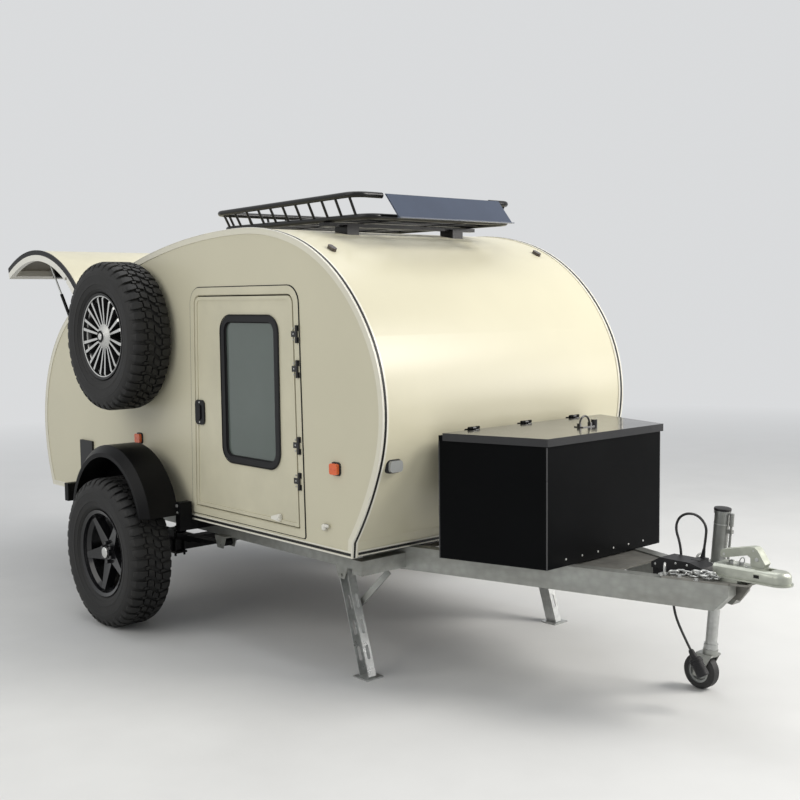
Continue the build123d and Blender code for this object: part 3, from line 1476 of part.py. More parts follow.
def make_chains():
    """The two safety chains, lying on the coupling plate."""
    return both(make_chain(chain_points))


def make_shackles():
    """Bow shackles that tie the chains to the coupling plate."""
    x, y = shackle_at
    z = coupling_seat
    bow = SlotOverall(52.0, 40.0) - SlotOverall(34.0, 22.0)
    plane = Plane(origin=(x - 26.0, y - 6.0, z + 18.0), x_dir=(0, 0, 1), z_dir=(1, 0.6, 0))
    shape = extrude(plane.offset(-4.5) * bow, 9.0)
    base = block(x - 44.0, x - 10.0, y - 22.0, y + 10.0, z, z + 6.0)
    below = block(x - 100.0, x + 100.0, y - 100.0, y + 100.0, z - 50.0, z)
    return both((shape - below) + base)


# Placing and export

frame_shift = Pos(-ball_x, 0, -ball_height)
place_wheel = Pos(0, -wheel_y, wheel_z)
place_spare = Pos(spare_x, -spare_y, spare_z)

door_hinge_fixed, door_hinge_moving = make_door_hinges()
hatch_hinge_fixed, hatch_hinge_moving = make_hatch_hinges()
lid_hinge_fixed, lid_hinge_moving = make_lid_hinges()

right_side = {  # pieces that the left side repeats
    "wall": make_side_wall(),
    "door_panel": make_door_panel() + door_hinge_moving,
    "door_fittings": kept_apart([make_window_frame(), make_handle()]),
    "door_glass": make_glass(),
    "tyre": place_wheel * make_tyre(),
    "rim": place_wheel * make_road_rim(),
    "strut_barrel": make_strut_barrel(),
    "strut_rod": make_strut_rod(),
    "front_leg": make_leg() + make_brace_pin(),
    "leg_brace": make_brace(),
}

single = {
    "chassis_frame": joined([make_rails(), make_crossmembers(), make_spring_hangers(), make_leg_brackets()]),
    "drawbar": both(make_drawbar_rail()),
    "drawbar_plates": kept_apart([make_drawbar_plate(), make_coupling_plate()]),
    "front_crossbar": make_crossbar(),
    "coupling_head": make_coupling_head(),
    "coupling_lever": make_coupling_lever(),
    "axle_and_springs": joined([make_axle(), make_spring(), mirrored(make_spring())]),
    "floor_panel": make_floor(),
    "roof_shell": make_roof(),
    "rear_panel": make_rear_panel(),
    "galley": joined([make_bulkhead(), make_counter(), make_cabinets(), make_shelf()]),
    "mattress": make_mattress(),
    "edging": kept_apart([both(make_edging()), make_front_sill()]),
    "door_frames": both(make_door_frame() + door_hinge_fixed),
    "hatch_mounts": kept_apart([hatch_hinge_fixed, make_strut_brackets()]),
    "hatch_shell": make_hatch_shell() + hatch_hinge_moving,
    "hatch_edging": make_hatch_edging(),
    "hatch_ribs": make_hatch_ribs() + make_hatch_pins(),
    "hatch_latches": make_hatch_latches(),
    "fenders": joined([both(make_fender()), make_fender_arms()]),
    "spare_tyre": place_spare * make_tyre(),
    "spare_rim": place_spare * make_spare_rim(),
    "wall_fittings": kept_apart([make_spare_carrier(), make_vent_plate(), both(make_catch(1403.0, 653.0, 20.0))]),
    "marker_lamps": kept_apart([make_side_markers(), make_roof_markers()]),
    "front_lamps": make_position_lamps(),
    "tail_lamps": make_tail_lamps(),
    "roof_rack": joined([make_rack_frame(), make_rack_floor(), make_rack_feet(), make_deflector()]),
    "toolbox": make_toolbox() + lid_hinge_fixed,
    "toolbox_lid": make_lid() + lid_hinge_moving + make_lid_latch(),
    "jockey_outer_tube": joined([make_jockey_outer(), make_jockey_rod(), make_jockey_clamp()]),
    "jockey_inner_tube": make_jockey_leg(),
    "jockey_fork": make_jockey_fork(),
    "jockey_wheel": make_jockey_tyre() + make_jockey_hub(),
    "cable_bracket": make_cable_bracket(),
    "trailer_cable": make_cable(),
    "trailer_plug": make_plug(),
    "safety_chains": kept_apart([make_chains(), make_shackles()]),
}

pieces = dict(single)
for name, shape in right_side.items():
    pieces[name + "_right"] = shape
    pieces[name + "_left"] = mirrored(shape)

os.makedirs("parts", exist_ok=True)
for name, shape in pieces.items():
    export_step(frame_shift * shape, "parts/" + name + ".step")
    box = shape.bounding_box()
    print(name, len(shape.solids()), round(shape.volume),
          [round(v, 1) for v in (box.min.X, box.max.X, box.min.Y, box.max.Y, box.min.Z, box.max.Z)])
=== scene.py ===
"""Looks of a small off-road teardrop trailer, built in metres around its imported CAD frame."""
import math

import bmesh
import bpy
from mathutils import Matrix, Vector


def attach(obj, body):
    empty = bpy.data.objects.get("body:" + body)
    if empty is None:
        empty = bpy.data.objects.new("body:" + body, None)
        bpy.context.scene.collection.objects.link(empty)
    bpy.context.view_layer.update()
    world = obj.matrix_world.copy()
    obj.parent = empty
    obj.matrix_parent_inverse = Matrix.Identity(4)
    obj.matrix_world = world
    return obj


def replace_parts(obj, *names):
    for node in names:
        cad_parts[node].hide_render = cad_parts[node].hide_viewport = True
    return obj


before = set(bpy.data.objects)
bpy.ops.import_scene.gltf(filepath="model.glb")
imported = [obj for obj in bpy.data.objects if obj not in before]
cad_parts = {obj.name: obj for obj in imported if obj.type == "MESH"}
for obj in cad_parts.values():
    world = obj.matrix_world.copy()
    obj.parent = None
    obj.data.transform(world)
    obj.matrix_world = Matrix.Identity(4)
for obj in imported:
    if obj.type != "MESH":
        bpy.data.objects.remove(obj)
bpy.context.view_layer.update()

# The CAD's own measuring frame: x from the axle, z from the ground
BALL_X = 3.040
BALL_Z = 0.580
FLOOR_Z = -BALL_Z


def at(x, y, z):
    """Row-frame point from millimetres in the trailer's measuring frame."""
    return Vector((x / 1000 - BALL_X, y / 1000, z / 1000 - BALL_Z))


# Places on the trailer, in millimetres
WALL = 750
WHEEL_Y = 960
WHEEL_Z = 367.5
WHEEL_FACE = 1009
NUT_CIRCLE = 46
SPARE_X = -96
SPARE_Y = -872
SPARE_Z = 1425
MARKERS = [(1482, 905), (-120, 900)]


# Nodes of materials. A node goes into the tree of the socket or tree that it is given.

def fill(made, inputs):
    """Set a node's inputs to values, or link them from sockets."""
    for name, value in inputs.items():
        if isinstance(value, bpy.types.NodeSocket):
            made.id_data.links.new(value, made.inputs[name])
        else:
            made.inputs[name].default_value = value


def node(near, kind, inputs, **settings):
    """Shader node with its settings and inputs."""
    made = near.id_data.nodes.new("ShaderNode" + kind)
    for name, value in settings.items():
        setattr(made, name, value)
    fill(made, inputs)
    return made


def begin(name):
    """New material with its shader and a coordinate socket for its textures."""
    material = bpy.data.materials.new(name)
    material.use_nodes = True
    tree = material.node_tree
    tree.nodes.clear()
    shader = node(tree, "BsdfPrincipled", {})
    node(tree, "OutputMaterial", {"Surface": shader.outputs["BSDF"]})
    return material, shader, node(tree, "TexCoord", {}).outputs["Object"]


def tone(colour, share):
    """Lighter or darker colour."""
    return tuple(min(1.0, c * share) for c in colour)


def noise(vector, scale, detail=4.0, rough=0.55, stretch=None):
    """Noise texture, optionally stretched along an axis."""
    if stretch:
        vector = node(vector, "Mapping", {"Scale": stretch, "Vector": vector}).outputs["Vector"]
    inputs = {"Scale": scale, "Detail": detail, "Roughness": rough, "Vector": vector}
    return node(vector, "TexNoise", inputs).outputs["Fac"]


def waves(vector, direction, inputs):
    """Straight waves across a direction."""
    return node(vector, "TexWave", {"Vector": vector, **inputs}, bands_direction=direction).outputs["Fac"]


def ramp(fac, low, high, start=0.3, end=0.7):
    """Colour ramp between two colours."""
    made = node(fac, "ValToRGB", {"Fac": fac})
    for element, place, colour in zip(made.color_ramp.elements, (start, end), (low, high)):
        element.position = place
        element.color = (*colour, 1.0)
    return made.outputs["Color"]


def spread(fac, low, high):
    """Map the middle of a 0 to 1 factor onto a range of numbers."""
    inputs = {"Value": fac, "From Min": 0.3, "From Max": 0.7, "To Min": low, "To Max": high}
    return node(fac, "MapRange", inputs).outputs["Result"]


def bump(shader, height, strength, distance=0.001):
    """Bump from a height socket."""
    made = node(height, "Bump", {"Strength": strength, "Distance": distance, "Height": height})
    fill(shader, {"Normal": made.outputs["Normal"]})


def mix(fac, a, b):
    """Mix two colours by a factor socket. A colour is a socket or a triple."""
    made = node(fac, "Mix", {"Factor": fac}, data_type="RGBA")
    sockets = {socket.name: socket for socket in made.inputs if socket.type == "RGBA"}
    for name, value in (("A", a), ("B", b)):
        if isinstance(value, tuple):
            sockets[name].default_value = (*value, 1.0)
        else:
            made.id_data.links.new(value, sockets[name])
    return [socket for socket in made.outputs if socket.type == "RGBA"][0]


def maths(operation, first, second=0.0):
    """Product or the like of two numbers."""
    return node(first, "Math", {0: first, 1: second}, operation=operation).outputs["Value"]


def vectors(operation, first, second=(0.0, 0.0, 0.0), output="Vector"):
    """Product or the like of two vectors."""
    return node(first, "VectorMath", {0: first, 1: second}, operation=operation).outputs[output]


def along(vector, axis):
    """One coordinate of a vector."""
    return node(vector, "SeparateXYZ", {0: vector}).outputs[axis]


def facing(coords, axis):
    """One coordinate of the surface's normal."""
    return along(node(coords, "TexCoord", {}).outputs["Normal"], axis)


# Masks

def step_mask(value, edge, soft):
    """Mask that turns from 0 to 1 where a number passes an edge."""
    inputs = {"Value": value, "From Min": edge - soft, "From Max": edge + soft}
    return node(value, "MapRange", inputs).outputs["Result"]


def above(coords, axis, edge, soft=0.001):
    """Mask that turns from 0 to 1 where a coordinate passes an edge."""
    return step_mask(along(coords, axis), edge, soft)


def beyond_side(coords, edge):
    """Mask that is 1 further from the middle than an edge, on either side."""
    return step_mask(maths("ABSOLUTE", along(coords, "Y")), edge, 0.0003)


def round_mask(coords, centre, radius):
    """Mask that is 1 further than a radius from a line along Y."""
    flat = vectors("MULTIPLY", vectors("SUBTRACT", coords, centre), (1.0, 0.0, 1.0))
    return step_mask(vectors("LENGTH", flat, output="Value"), radius, 0.0005)


def past_plane(coords, normal, edge):
    """Mask that is 1 beyond a plane, given its normal and its distance from the origin."""
    return step_mask(vectors("DOT_PRODUCT", coords, normal, "Value"), edge, 0.0005)


def facing_down(coords):
    """Mask that is 1 on faces that look down."""
    return step_mask(maths("MULTIPLY", facing(coords, "Z"), -1.0), 0.3, 0.05)


def machined(coords, edge, centre, radius):
    """Mask that is 0 on faces that look out along -Y beyond an edge and within a radius, and 1 elsewhere."""
    turned = step_mask(facing(coords, "Y"), -0.6, 0.1)
    mask = maths("MAXIMUM", turned, above(coords, "Y", edge, 0.004))
    return maths("MAXIMUM", mask, round_mask(coords, centre, radius))


# Materials

def paint(name, colour, rough, vary=0.15, metal=0.0, grain=180.0, grain_depth=0.05, coat=0.0,
          rough_vary=0.06, specular=0.5):
    """Painted, moulded or powder-coated surface with a fine grain and slight cloudiness."""
    material, shader, coords = begin(name)
    broad = noise(coords, 2.5, 5.0)
    fill(shader, {
        "Base Color": ramp(broad, tone(colour, 1 - vary), tone(colour, 1 + vary)),
        "Roughness": spread(broad, rough - rough_vary, rough + rough_vary),
        "Metallic": metal, "Specular IOR Level": specular, "Coat Weight": coat, "Coat Roughness": 0.06})
    if grain_depth:
        bump(shader, noise(coords, grain, 3.0), grain_depth)
    return material


def zoned(name, first, second, mask, roughs, metals=(0.0, 0.0), grain=260.0, depth=0.04, specular=0.5,
          coat=0.0):
    """Two finishes on one piece, the second where the mask is 1. The mask is a function and its values."""
    material, shader, coords = begin(name)
    fac = mask[0](coords, *mask[1:])
    broad = noise(coords, 5.0, 5.0)
    tones = [ramp(broad, tone(colour, 0.93), tone(colour, 1.05)) for colour in (first, second)]
    fill(shader, {"Base Color": mix(fac, *tones), "Specular IOR Level": specular, "Coat Weight": coat})
    for (low, high), socket in ((roughs, "Roughness"), (metals, "Metallic")):
        made = node(fac, "MapRange", {"Value": fac, "To Min": low, "To Max": high})
        fill(shader, {socket: made.outputs["Result"]})
    bump(shader, noise(coords, grain, 3.0), depth)
    return material


def zinc(name, colour, rough, spangle=30.0, dirt=(0.2, 0.19, 0.16)):
    """Galvanised steel: mottled grey metal with duller, dirtier clouds."""
    material, shader, coords = begin(name)
    cells = node(coords, "TexVoronoi", {"Scale": spangle, "Vector": coords}).outputs["Distance"]
    mottled = ramp(cells, tone(colour, 1.08), tone(colour, 0.9), 0.1, 0.8)
    stain = noise(coords, 7.0, 6.0, 0.65, stretch=(0.3, 1.0, 1.6))
    fill(shader, {
        "Base Color": mix(spread(stain, 0.0, 0.4), mottled, dirt),
        "Roughness": spread(stain, rough - 0.1, rough + 0.16), "Metallic": 0.75})
    bump(shader, noise(coords, 90.0, 3.0), 0.12)
    return material


def rubber(name, colour, rough, dust):
    """Tyre rubber with road dust in broad clouds."""
    material, shader, coords = begin(name)
    stain = noise(coords, 9.0, 6.0, 0.6)
    fill(shader, {
        "Base Color": mix(spread(stain, 0.0, 0.22), colour, dust),
        "Roughness": spread(stain, rough - 0.08, rough + 0.08), "Specular IOR Level": 0.35})
    bump(shader, noise(coords, 320.0, 2.0), 0.15)
    return material


def wood(name, light, dark):
    """Plain board with a grain along X."""
    material, shader, coords = begin(name)
    grain = noise(coords, 12.0, 8.0, 0.6, stretch=(1.0, 9.0, 9.0))
    fill(shader, {"Base Color": ramp(grain, dark, light), "Roughness": 0.55})
    bump(shader, grain, 0.1)
    return material


def cloth(name, colour):
    """Woven cloth from crossed waves."""
    material, shader, coords = begin(name)
    threads = [waves(coords, axis, {"Scale": 160.0, "Distortion": 0.6}) for axis in ("X", "Y")]
    blotch = ramp(noise(coords, 5.0, 5.0), tone(colour, 0.85), colour)
    fill(shader, {"Base Color": blotch, "Roughness": 0.9, "Sheen Weight": 0.3})
    bump(shader, maths("MULTIPLY", *threads), 0.35, 0.0006)
    return material


def lens(name, colour):
    """Ribbed lamp lens, its colour darker in the ribs' troughs as painted shade."""
    material, shader, coords = begin(name)
    ribs = waves(coords, "Z", {"Scale": 90.0})
    # Colour darkened in the rib troughs as painted shade
    rib_shade = ramp(ribs, tone(colour, 0.75), colour)
    fill(shader, {"Base Color": rib_shade, "Roughness": 0.12, "Coat Weight": 0.6})
    bump(shader, ribs, 0.2)
    return material


def pane(name, colour):
    """Tinted pane that lets some light through."""
    material, shader, coords = begin(name)
    fill(shader, {
        "Base Color": ramp(noise(coords, 3.0, 4.0), tone(colour, 0.9), colour), "Roughness": 0.04,
        "Transmission Weight": 0.35, "IOR": 1.45, "Specular IOR Level": 0.8})
    return material


CREAM = (0.60, 0.565, 0.42)
BLACK = (0.004, 0.004, 0.0044)
RUBBER = (0.014, 0.014, 0.014)
DARK = (0.014, 0.014, 0.015)
SOOT = (0.012, 0.012, 0.012)
# Blue-grey painted on the black deflector plate as a reflection of the sky
PAINTED_SKY_REFLECTION = (0.052, 0.066, 0.10)
COUPLING_DIRT = (0.27, 0.27, 0.23)

# Where a node changes its finish, its painted shade or its painted reflection, in metres from the frame's
# origin
DOOR_FACE = 0.7548
VENT_FRONT = -1.80
UPPER_MARKERS = 1.0
FLOOR_FRONT = -1.49
SPOKE_FACE = -0.938
# Past this radius the spare rim's silver turns dark: painted shade where the tyre's bead meets the rim
SPARE_LIP = 0.2008
DEFLECTOR_NORMAL = Vector((104, 0, 86)).normalized()
DEFLECTOR_BACK = at(1347, 0, 2046).dot(DEFLECTOR_NORMAL) - 0.006
JOCKEY_HUB = (-0.5069, 0.0, -0.5045)
JOCKEY_RIM = 0.046

M = {
    "side": paint("cream_side", CREAM, 0.36, vary=0.02, grain=260.0, grain_depth=0.02, rough_vary=0.02),
    "skin": paint("cream_skin", CREAM, 0.33, vary=0.02, grain=260.0, grain_depth=0.015, rough_vary=0.015),
    "door": zoned("cream_door", CREAM, DARK, (beyond_side, DOOR_FACE), (0.36, 0.45), depth=0.02),
    "frame": zoned("cream_door_frame", CREAM, DARK, (beyond_side, DOOR_FACE), (0.36, 0.45), depth=0.02),
    # Hatch faces that look down get the cream darkened to grey-brown: painted shade on the underside
    "hatch_skin": zoned("hatch_skin", CREAM, (0.17, 0.155, 0.12), (facing_down,), (0.33, 0.6), grain=300.0,
                        depth=0.03),
    "floor_board": zoned("floor_panel", (0.13, 0.10, 0.075), CREAM, (above, "X", FLOOR_FRONT), (0.6, 0.36),
                         grain=40.0, depth=0.05),
    "ivory": paint("edge_moulding", (0.70, 0.67, 0.55), 0.35, vary=0.04),
    "bead": paint("bright_bead", (0.78, 0.76, 0.68), 0.28, vary=0.03, grain_depth=0.02),
    "insert": paint("black_insert", SOOT, 0.45, grain=300.0, grain_depth=0.06, specular=0.3),
    # Dark seal rubber, also used on the coupling as painted shade in its slots
    "seal": paint("dark_seal_and_slot_shade", SOOT, 0.7, grain=300.0, grain_depth=0.08, specular=0.2),
    "black_steel": paint("black_powder_coat", BLACK, 0.38, vary=0.2, grain=420.0, grain_depth=0.08,
                         specular=0.12),
    # Black coat on the rack; beyond the deflector's plane the plate is tinted blue-grey as a painted
    # reflection of the sky
    "rack": zoned("rack_coat", BLACK, PAINTED_SKY_REFLECTION, (past_plane, DEFLECTOR_NORMAL, DEFLECTOR_BACK), (0.28, 0.2),
                  grain=420.0, depth=0.05, specular=0.35),
    # Fender lip a little lighter than the fender's black: a painted highlight along the edge
    "lip": paint("fender_lip_highlight", (0.03, 0.03, 0.03), 0.28, vary=0.1, grain_depth=0.03),
    "black_box": paint("black_box_sheet", (0.0035, 0.0038, 0.0042), 0.36, grain=500.0, specular=0.04),
    # Grey on the tool box's folded corners: a painted highlight on the black sheet
    "box_edge_highlight": paint("box_corner_painted_highlight", (0.06, 0.06, 0.062), 0.3, vary=0.1, grain_depth=0.03),
    "lid": paint("box_lid_sheet", (0.012, 0.012, 0.013), 0.2, vary=0.2, grain=200.0, grain_depth=0.04,
                 coat=0.3, rough_vary=0.03),
    "black_trim": paint("black_moulded_trim", (0.011, 0.011, 0.012), 0.48, grain=350.0, grain_depth=0.08,
                        specular=0.3),
    "plug": paint("black_plug", (0.012, 0.012, 0.013), 0.5, vary=0.2, grain=500.0, grain_depth=0.08,
                  specular=0.3),
    "cord": paint("black_cable_jacket", (0.01, 0.01, 0.01), 0.42, vary=0.2, grain=400.0, grain_depth=0.1),
    "fitting": zoned("black_wall_fittings", (0.01, 0.01, 0.011), (0.62, 0.6, 0.54), (above, "X", VENT_FRONT),
                     (0.42, 0.35), depth=0.06, specular=0.35),
    "zinc": zinc("galvanised_steel", (0.36, 0.37, 0.35), 0.42),
    "zinc_bright": zinc("bright_zinc", (0.52, 0.53, 0.52), 0.32, spangle=55.0, dirt=(0.24, 0.24, 0.22)),
    "coupling": zinc("coupling_zinc", (0.47, 0.49, 0.43), 0.4, spangle=40.0, dirt=COUPLING_DIRT),
    "lever": zinc("lever_zinc", (0.44, 0.46, 0.40), 0.62, spangle=40.0, dirt=COUPLING_DIRT),
    "tube": zinc("tube_zinc", (0.29, 0.30, 0.29), 0.42),
    "plate": zinc("dull_zinc_plate", (0.26, 0.255, 0.235), 0.5),
    "tyre": rubber("tyre_rubber", (0.011, 0.011, 0.011), 0.62, (0.05, 0.047, 0.042)),
    "alloy_black": paint("black_alloy", (0.008, 0.008, 0.009), 0.22, metal=0.1, coat=0.3, specular=0.4),
    # Silver on the spare's outward faces, black on its pockets and inner faces, and dark past SPARE_LIP as
    # painted shade by the tyre's bead
    "alloy_silver": zoned("silver_alloy", (0.64, 0.64, 0.62), SOOT,
                          (machined, SPOKE_FACE, at(SPARE_X, SPARE_Y, SPARE_Z), SPARE_LIP), (0.3, 0.5),
                          (0.8, 0.1), depth=0.02),
    "cap": paint("bright_cap", (0.66, 0.66, 0.64), 0.22, vary=0.06, metal=0.9, grain_depth=0.03),
    "hub": paint("hub_silver", (0.56, 0.56, 0.54), 0.48, vary=0.05, metal=0.55, grain_depth=0.03),
    "jockey": zoned("jockey_wheel", (0.36, 0.37, 0.36), RUBBER, (round_mask, JOCKEY_HUB, JOCKEY_RIM),
                    (0.4, 0.62), (0.7, 0.0), depth=0.08),
    "marker": zoned("marker_lenses", (0.75, 0.12, 0.02), (0.035, 0.02, 0.015), (above, "Z", UPPER_MARKERS),
                    (0.14, 0.25), grain=90.0, depth=0.15, coat=0.5),
    "amber": lens("amber_lens", (0.75, 0.10, 0.02)),
    "clear": lens("clear_lens", (0.36, 0.37, 0.36)),
    "red": lens("red_lens", (0.45, 0.012, 0.012)),
    "pane": pane("tinted_pane", (0.165, 0.20, 0.18)),
    "board": wood("galley_board", (0.52, 0.4, 0.27), (0.36, 0.26, 0.16)),
    "cloth": cloth("grey_cloth", (0.3, 0.3, 0.31)),
    "piping": cloth("dark_piping", (0.09, 0.09, 0.1)),
}

# Nodes of the CAD frame by their material. A star stands for right and left.
NODE_LOOKS = {
    "side": "wall_*", "skin": "roof_shell rear_panel", "door": "door_panel_*", "frame": "door_frames",
    "hatch_skin": "hatch_shell", "floor_board": "floor_panel", "ivory": "edging", "bead": "hatch_ribs",
    "black_steel": "axle_and_springs fenders strut_barrel_*", "rack": "roof_rack",
    "black_box": "toolbox", "lid": "toolbox_lid",
    "black_trim": "hatch_edging hatch_latches cable_bracket trailer_plug door_fittings_*",
    "cord": "trailer_cable", "fitting": "wall_fittings",
    "zinc": "chassis_frame drawbar front_crossbar jockey_fork leg_brace_*",
    "zinc_bright": "hatch_mounts jockey_inner_tube safety_chains strut_rod_* front_leg_*",
    "coupling": "coupling_head", "lever": "coupling_lever", "tube": "jockey_outer_tube",
    "plate": "drawbar_plates", "tyre": "spare_tyre tyre_*", "alloy_black": "rim_*",
    "alloy_silver": "spare_rim", "jockey": "jockey_wheel", "marker": "marker_lamps",
    "clear": "front_lamps", "red": "tail_lamps", "pane": "door_glass_*", "board": "galley",
    "cloth": "mattress",
}

for look, names in NODE_LOOKS.items():
    for name in names.split():
        for side in ("right", "left") if name.endswith("*") else ("",):
            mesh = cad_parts[name.replace("*", side)].data
            mesh.materials.clear()
            mesh.materials.append(M[look])


# Mesh helpers. Places are millimetres in the trailer's measuring frame.

OUT = (0, -1, 0)
UP = (0, 0, 1)
AHEAD = (1, 0, 0)


def join(bm, a, b):
    """Faces between two rings of vertices."""
    for j in range(len(a)):
        k = (j + 1) % len(a)
        bm.faces.new((a[j], a[k], b[k], b[j]))


def loft(bm, rings, closed=False):
    """Skin over rings of points with equal counts, capped at both ends or closed on itself."""
    rows = [[bm.verts.new(point) for point in ring] for ring in rings]
    for a, b in zip(rows, rows[1:] + rows[:1] if closed else rows[1:]):
        join(bm, a, b)
    if not closed:
        bm.faces.new(rows[0][::-1])
        bm.faces.new(rows[-1])


def cross_axes(direction):
    """Two unit vectors square to a direction."""
    side = Vector(UP if abs(direction.z) < 0.9 else AHEAD)
    first = direction.cross(side).normalized()
    return first, direction.cross(first).normalized()


def circle(middle, u, v, radius, sides):
    """Circle of points, in metres."""
    turns = [2 * math.pi * k / sides for k in range(sides)]
    return [middle + (u * math.cos(turn) + v * math.sin(turn)) * radius for turn in turns]


def lathe(bm, start, heading, profile, sides=24, closed=False):
    """Turned piece from a place along a heading, from (along, radius) in millimetres."""
    base = at(*start)
    axis = Vector(heading).normalized()
    u, v = cross_axes(axis)
    rings = [circle(base + axis * far / 1000, u, v, radius / 1000, sides) for far, radius in profile]
    loft(bm, rings, closed)


def tube(bm, points, radius, sides=10, closed=False):
    """Round wire through places, in metres, with its section kept square to the line."""
    count = len(points)
    rings = []
    last = None
    for i, point in enumerate(points):
        before = points[i - 1] if closed or i else point
        after = points[(i + 1) % count] if closed or i < count - 1 else point
        heading = (after - before).normalized()
        u = cross_axes(heading)[0] if last is None else (last - heading * last.dot(heading)).normalized()
        last = u
        rings.append(circle(point, u, heading.cross(u), radius, sides))
    loft(bm, rings, closed)


def block(bm, low, high, edge):
    """Box between two corners with chamfered edges."""
    (x0, y0, z0), (x1, y1, z1) = low, high

    def level(z, e):
        return [at(x, y, z) for x, y in (
            (x0 + e + edge, y0 + e), (x1 - e - edge, y0 + e), (x1 - e, y0 + e + edge),
            (x1 - e, y1 - e - edge), (x1 - e - edge, y1 - e), (x0 + e + edge, y1 - e),
            (x0 + e, y1 - e - edge), (x0 + e, y0 + e + edge))]

    loft(bm, [level(z0, edge), level(z0 + edge, 0.0), level(z1 - edge, 0.0), level(z1, edge)])


def wall_place(a, b, proud):
    """Place of a path drawn on the right wall, a distance out from its face."""
    return at(a, -WALL - proud, b)


def front_place(a, b, x):
    """Place of a path drawn across the body's front."""
    return at(x, a, b)


def band(bm, path, section, place=wall_place, closed=False):
    """Strip along a flat path of (a, b, normal a, normal b), with a section of (out, across)."""
    loft(bm, [[place(a + na * out, b + nb * out, across) for out, across in section]
              for a, b, na, nb in path], closed)


def wall_strip(bm, xs, z, half, flat, proud):
    """Straight strip along the foot of the right wall, with bevelled edges."""
    section = [(2.0, z - half), (proud, z - flat), (proud, z + flat), (2.0, z + half)]
    loft(bm, [[wall_place(x, high, out) for out, high in section] for x in xs])


ARC_STEP = 22


def arc_path(start, heading, nodes, turn):
    """Path along arcs that each leave on the last one's tangent. turn is 1 for an outside on the left."""
    path = []
    px, pz = start
    tx, tz = heading
    for qx, qz in nodes:
        dx, dz = qx - px, qz - pz
        nx, nz = -tz, tx
        radius = (dx * dx + dz * dz) / (2 * (dx * nx + dz * nz))
        cx, cz = px + nx * radius, pz + nz * radius
        sweep = 2 * math.atan2(tx * dz - tz * dx, tx * dx + tz * dz)
        steps = max(2, int(abs(sweep * radius) / ARC_STEP))
        for k in range(1 if path else 0, steps + 1):
            angle = sweep * k / steps
            ca, sa = math.cos(angle), math.sin(angle)
            hx, hz = tx * ca - tz * sa, tx * sa + tz * ca
            path.append((cx + hz * radius, cz - hx * radius, -hz * turn, hx * turn))
        px, pz = qx, qz
        tx, tz = hx, hz
    return path


def rounded_path(corners, radii, steps=8):
    """Closed path round corners, given anticlockwise, with its normals pointing out."""
    path = []
    count = len(corners)
    for i in range(count):
        here = Vector(corners[i])
        before = (Vector(corners[i - 1]) - here).normalized()
        after = (Vector(corners[(i + 1) % count]) - here).normalized()
        half = before.angle(after) / 2
        reach = radii[i] / math.tan(half)
        centre = here + (before + after).normalized() * radii[i] / math.sin(half)
        first = here + before * reach - centre
        last = here + after * reach - centre
        span = first.angle_signed(last)
        for k in range(steps + 1):
            angle = span * k / steps
            ca, sa = math.cos(angle), math.sin(angle)
            arm = Vector((first.x * ca + first.y * sa, -first.x * sa + first.y * ca))
            spot = centre + arm
            arm.normalize()
            path.append((spot.x, spot.y, arm.x, arm.y))
    return path


def box_path(cx, cz, width, height, radius, steps=6):
    """Closed path round a rounded rectangle."""
    a, b = width / 2, height / 2
    corners = [(cx - a, cz - b), (cx + a, cz - b), (cx + a, cz + b), (cx - a, cz + b)]
    return rounded_path(corners, [radius] * 4, steps)


def flip(verts):
    """Move vertices to the other side of the trailer."""
    for vert in verts:
        vert.co.y = -vert.co.y


def mesh_of(name, look, build, crease=35.0, side="right"):
    """Mesh made by build(bm), kept for the right side, mirrored for the left or repeated for both."""
    bm = bmesh.new()
    build(bm)
    if side == "both":
        copies = bmesh.ops.duplicate(bm, geom=bm.faces[:])["geom"]
        flip([part for part in copies if isinstance(part, bmesh.types.BMVert)])
    if side == "left":
        flip(bm.verts)
    bmesh.ops.recalc_face_normals(bm, faces=bm.faces[:])
    mesh = bpy.data.meshes.new(name)
    bm.to_mesh(mesh)
    bm.free()
    mesh.materials.append(M[look])
    mesh.shade_smooth()
    mesh.set_sharp_from_angle(angle=math.radians(crease))
    return mesh


def show(name, data):
    """Object of a mesh, curve, lamp or camera in the scene."""
    made = bpy.data.objects.new(name, data)
    bpy.context.scene.collection.objects.link(made)
    return made


def put(name, data, body, spot=(0, 0, 0)):
    """Object that rides on a body."""
    made = show(name, data)
    made.location = spot
    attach(made, body)
    return made


def piece(name, look, build, body="root", crease=35.0, side="right"):
    """Mesh piece on a body."""
    return put(name, mesh_of(name, look, build, crease, side), body)


def both(name, look, build):
    """Mesh piece on the trailer's body that repeats on both sides."""
    return piece(name, look, build, side="both")


def pair(name, look, build, body="root"):
    """The same piece on the right and, mirrored, on the left. A body's name may hold {} for the side."""
    for side in ("right", "left"):
        piece(f"{name}_{side}", look, build, body.format(side), side=side)


# Electric cable, its strain relief and plug

CORD_POINTS = [
    (2690, 52, 604), (2702, 52, 674), (2706, 52, 732), (2656, 52, 770), (2590, 52, 756), (2564, 52, 704),
    (2590, 52, 640), (2596, 52, 570), (2570, 52, 502), (2556, 52, 430), (2568, 52, 358), (2602, 52, 294),
    (2640, 52, 236),
]
PLUG_END = (2700, 52, 144)
PLUG_LENGTH = 109
PLUG_RADIUS = 24


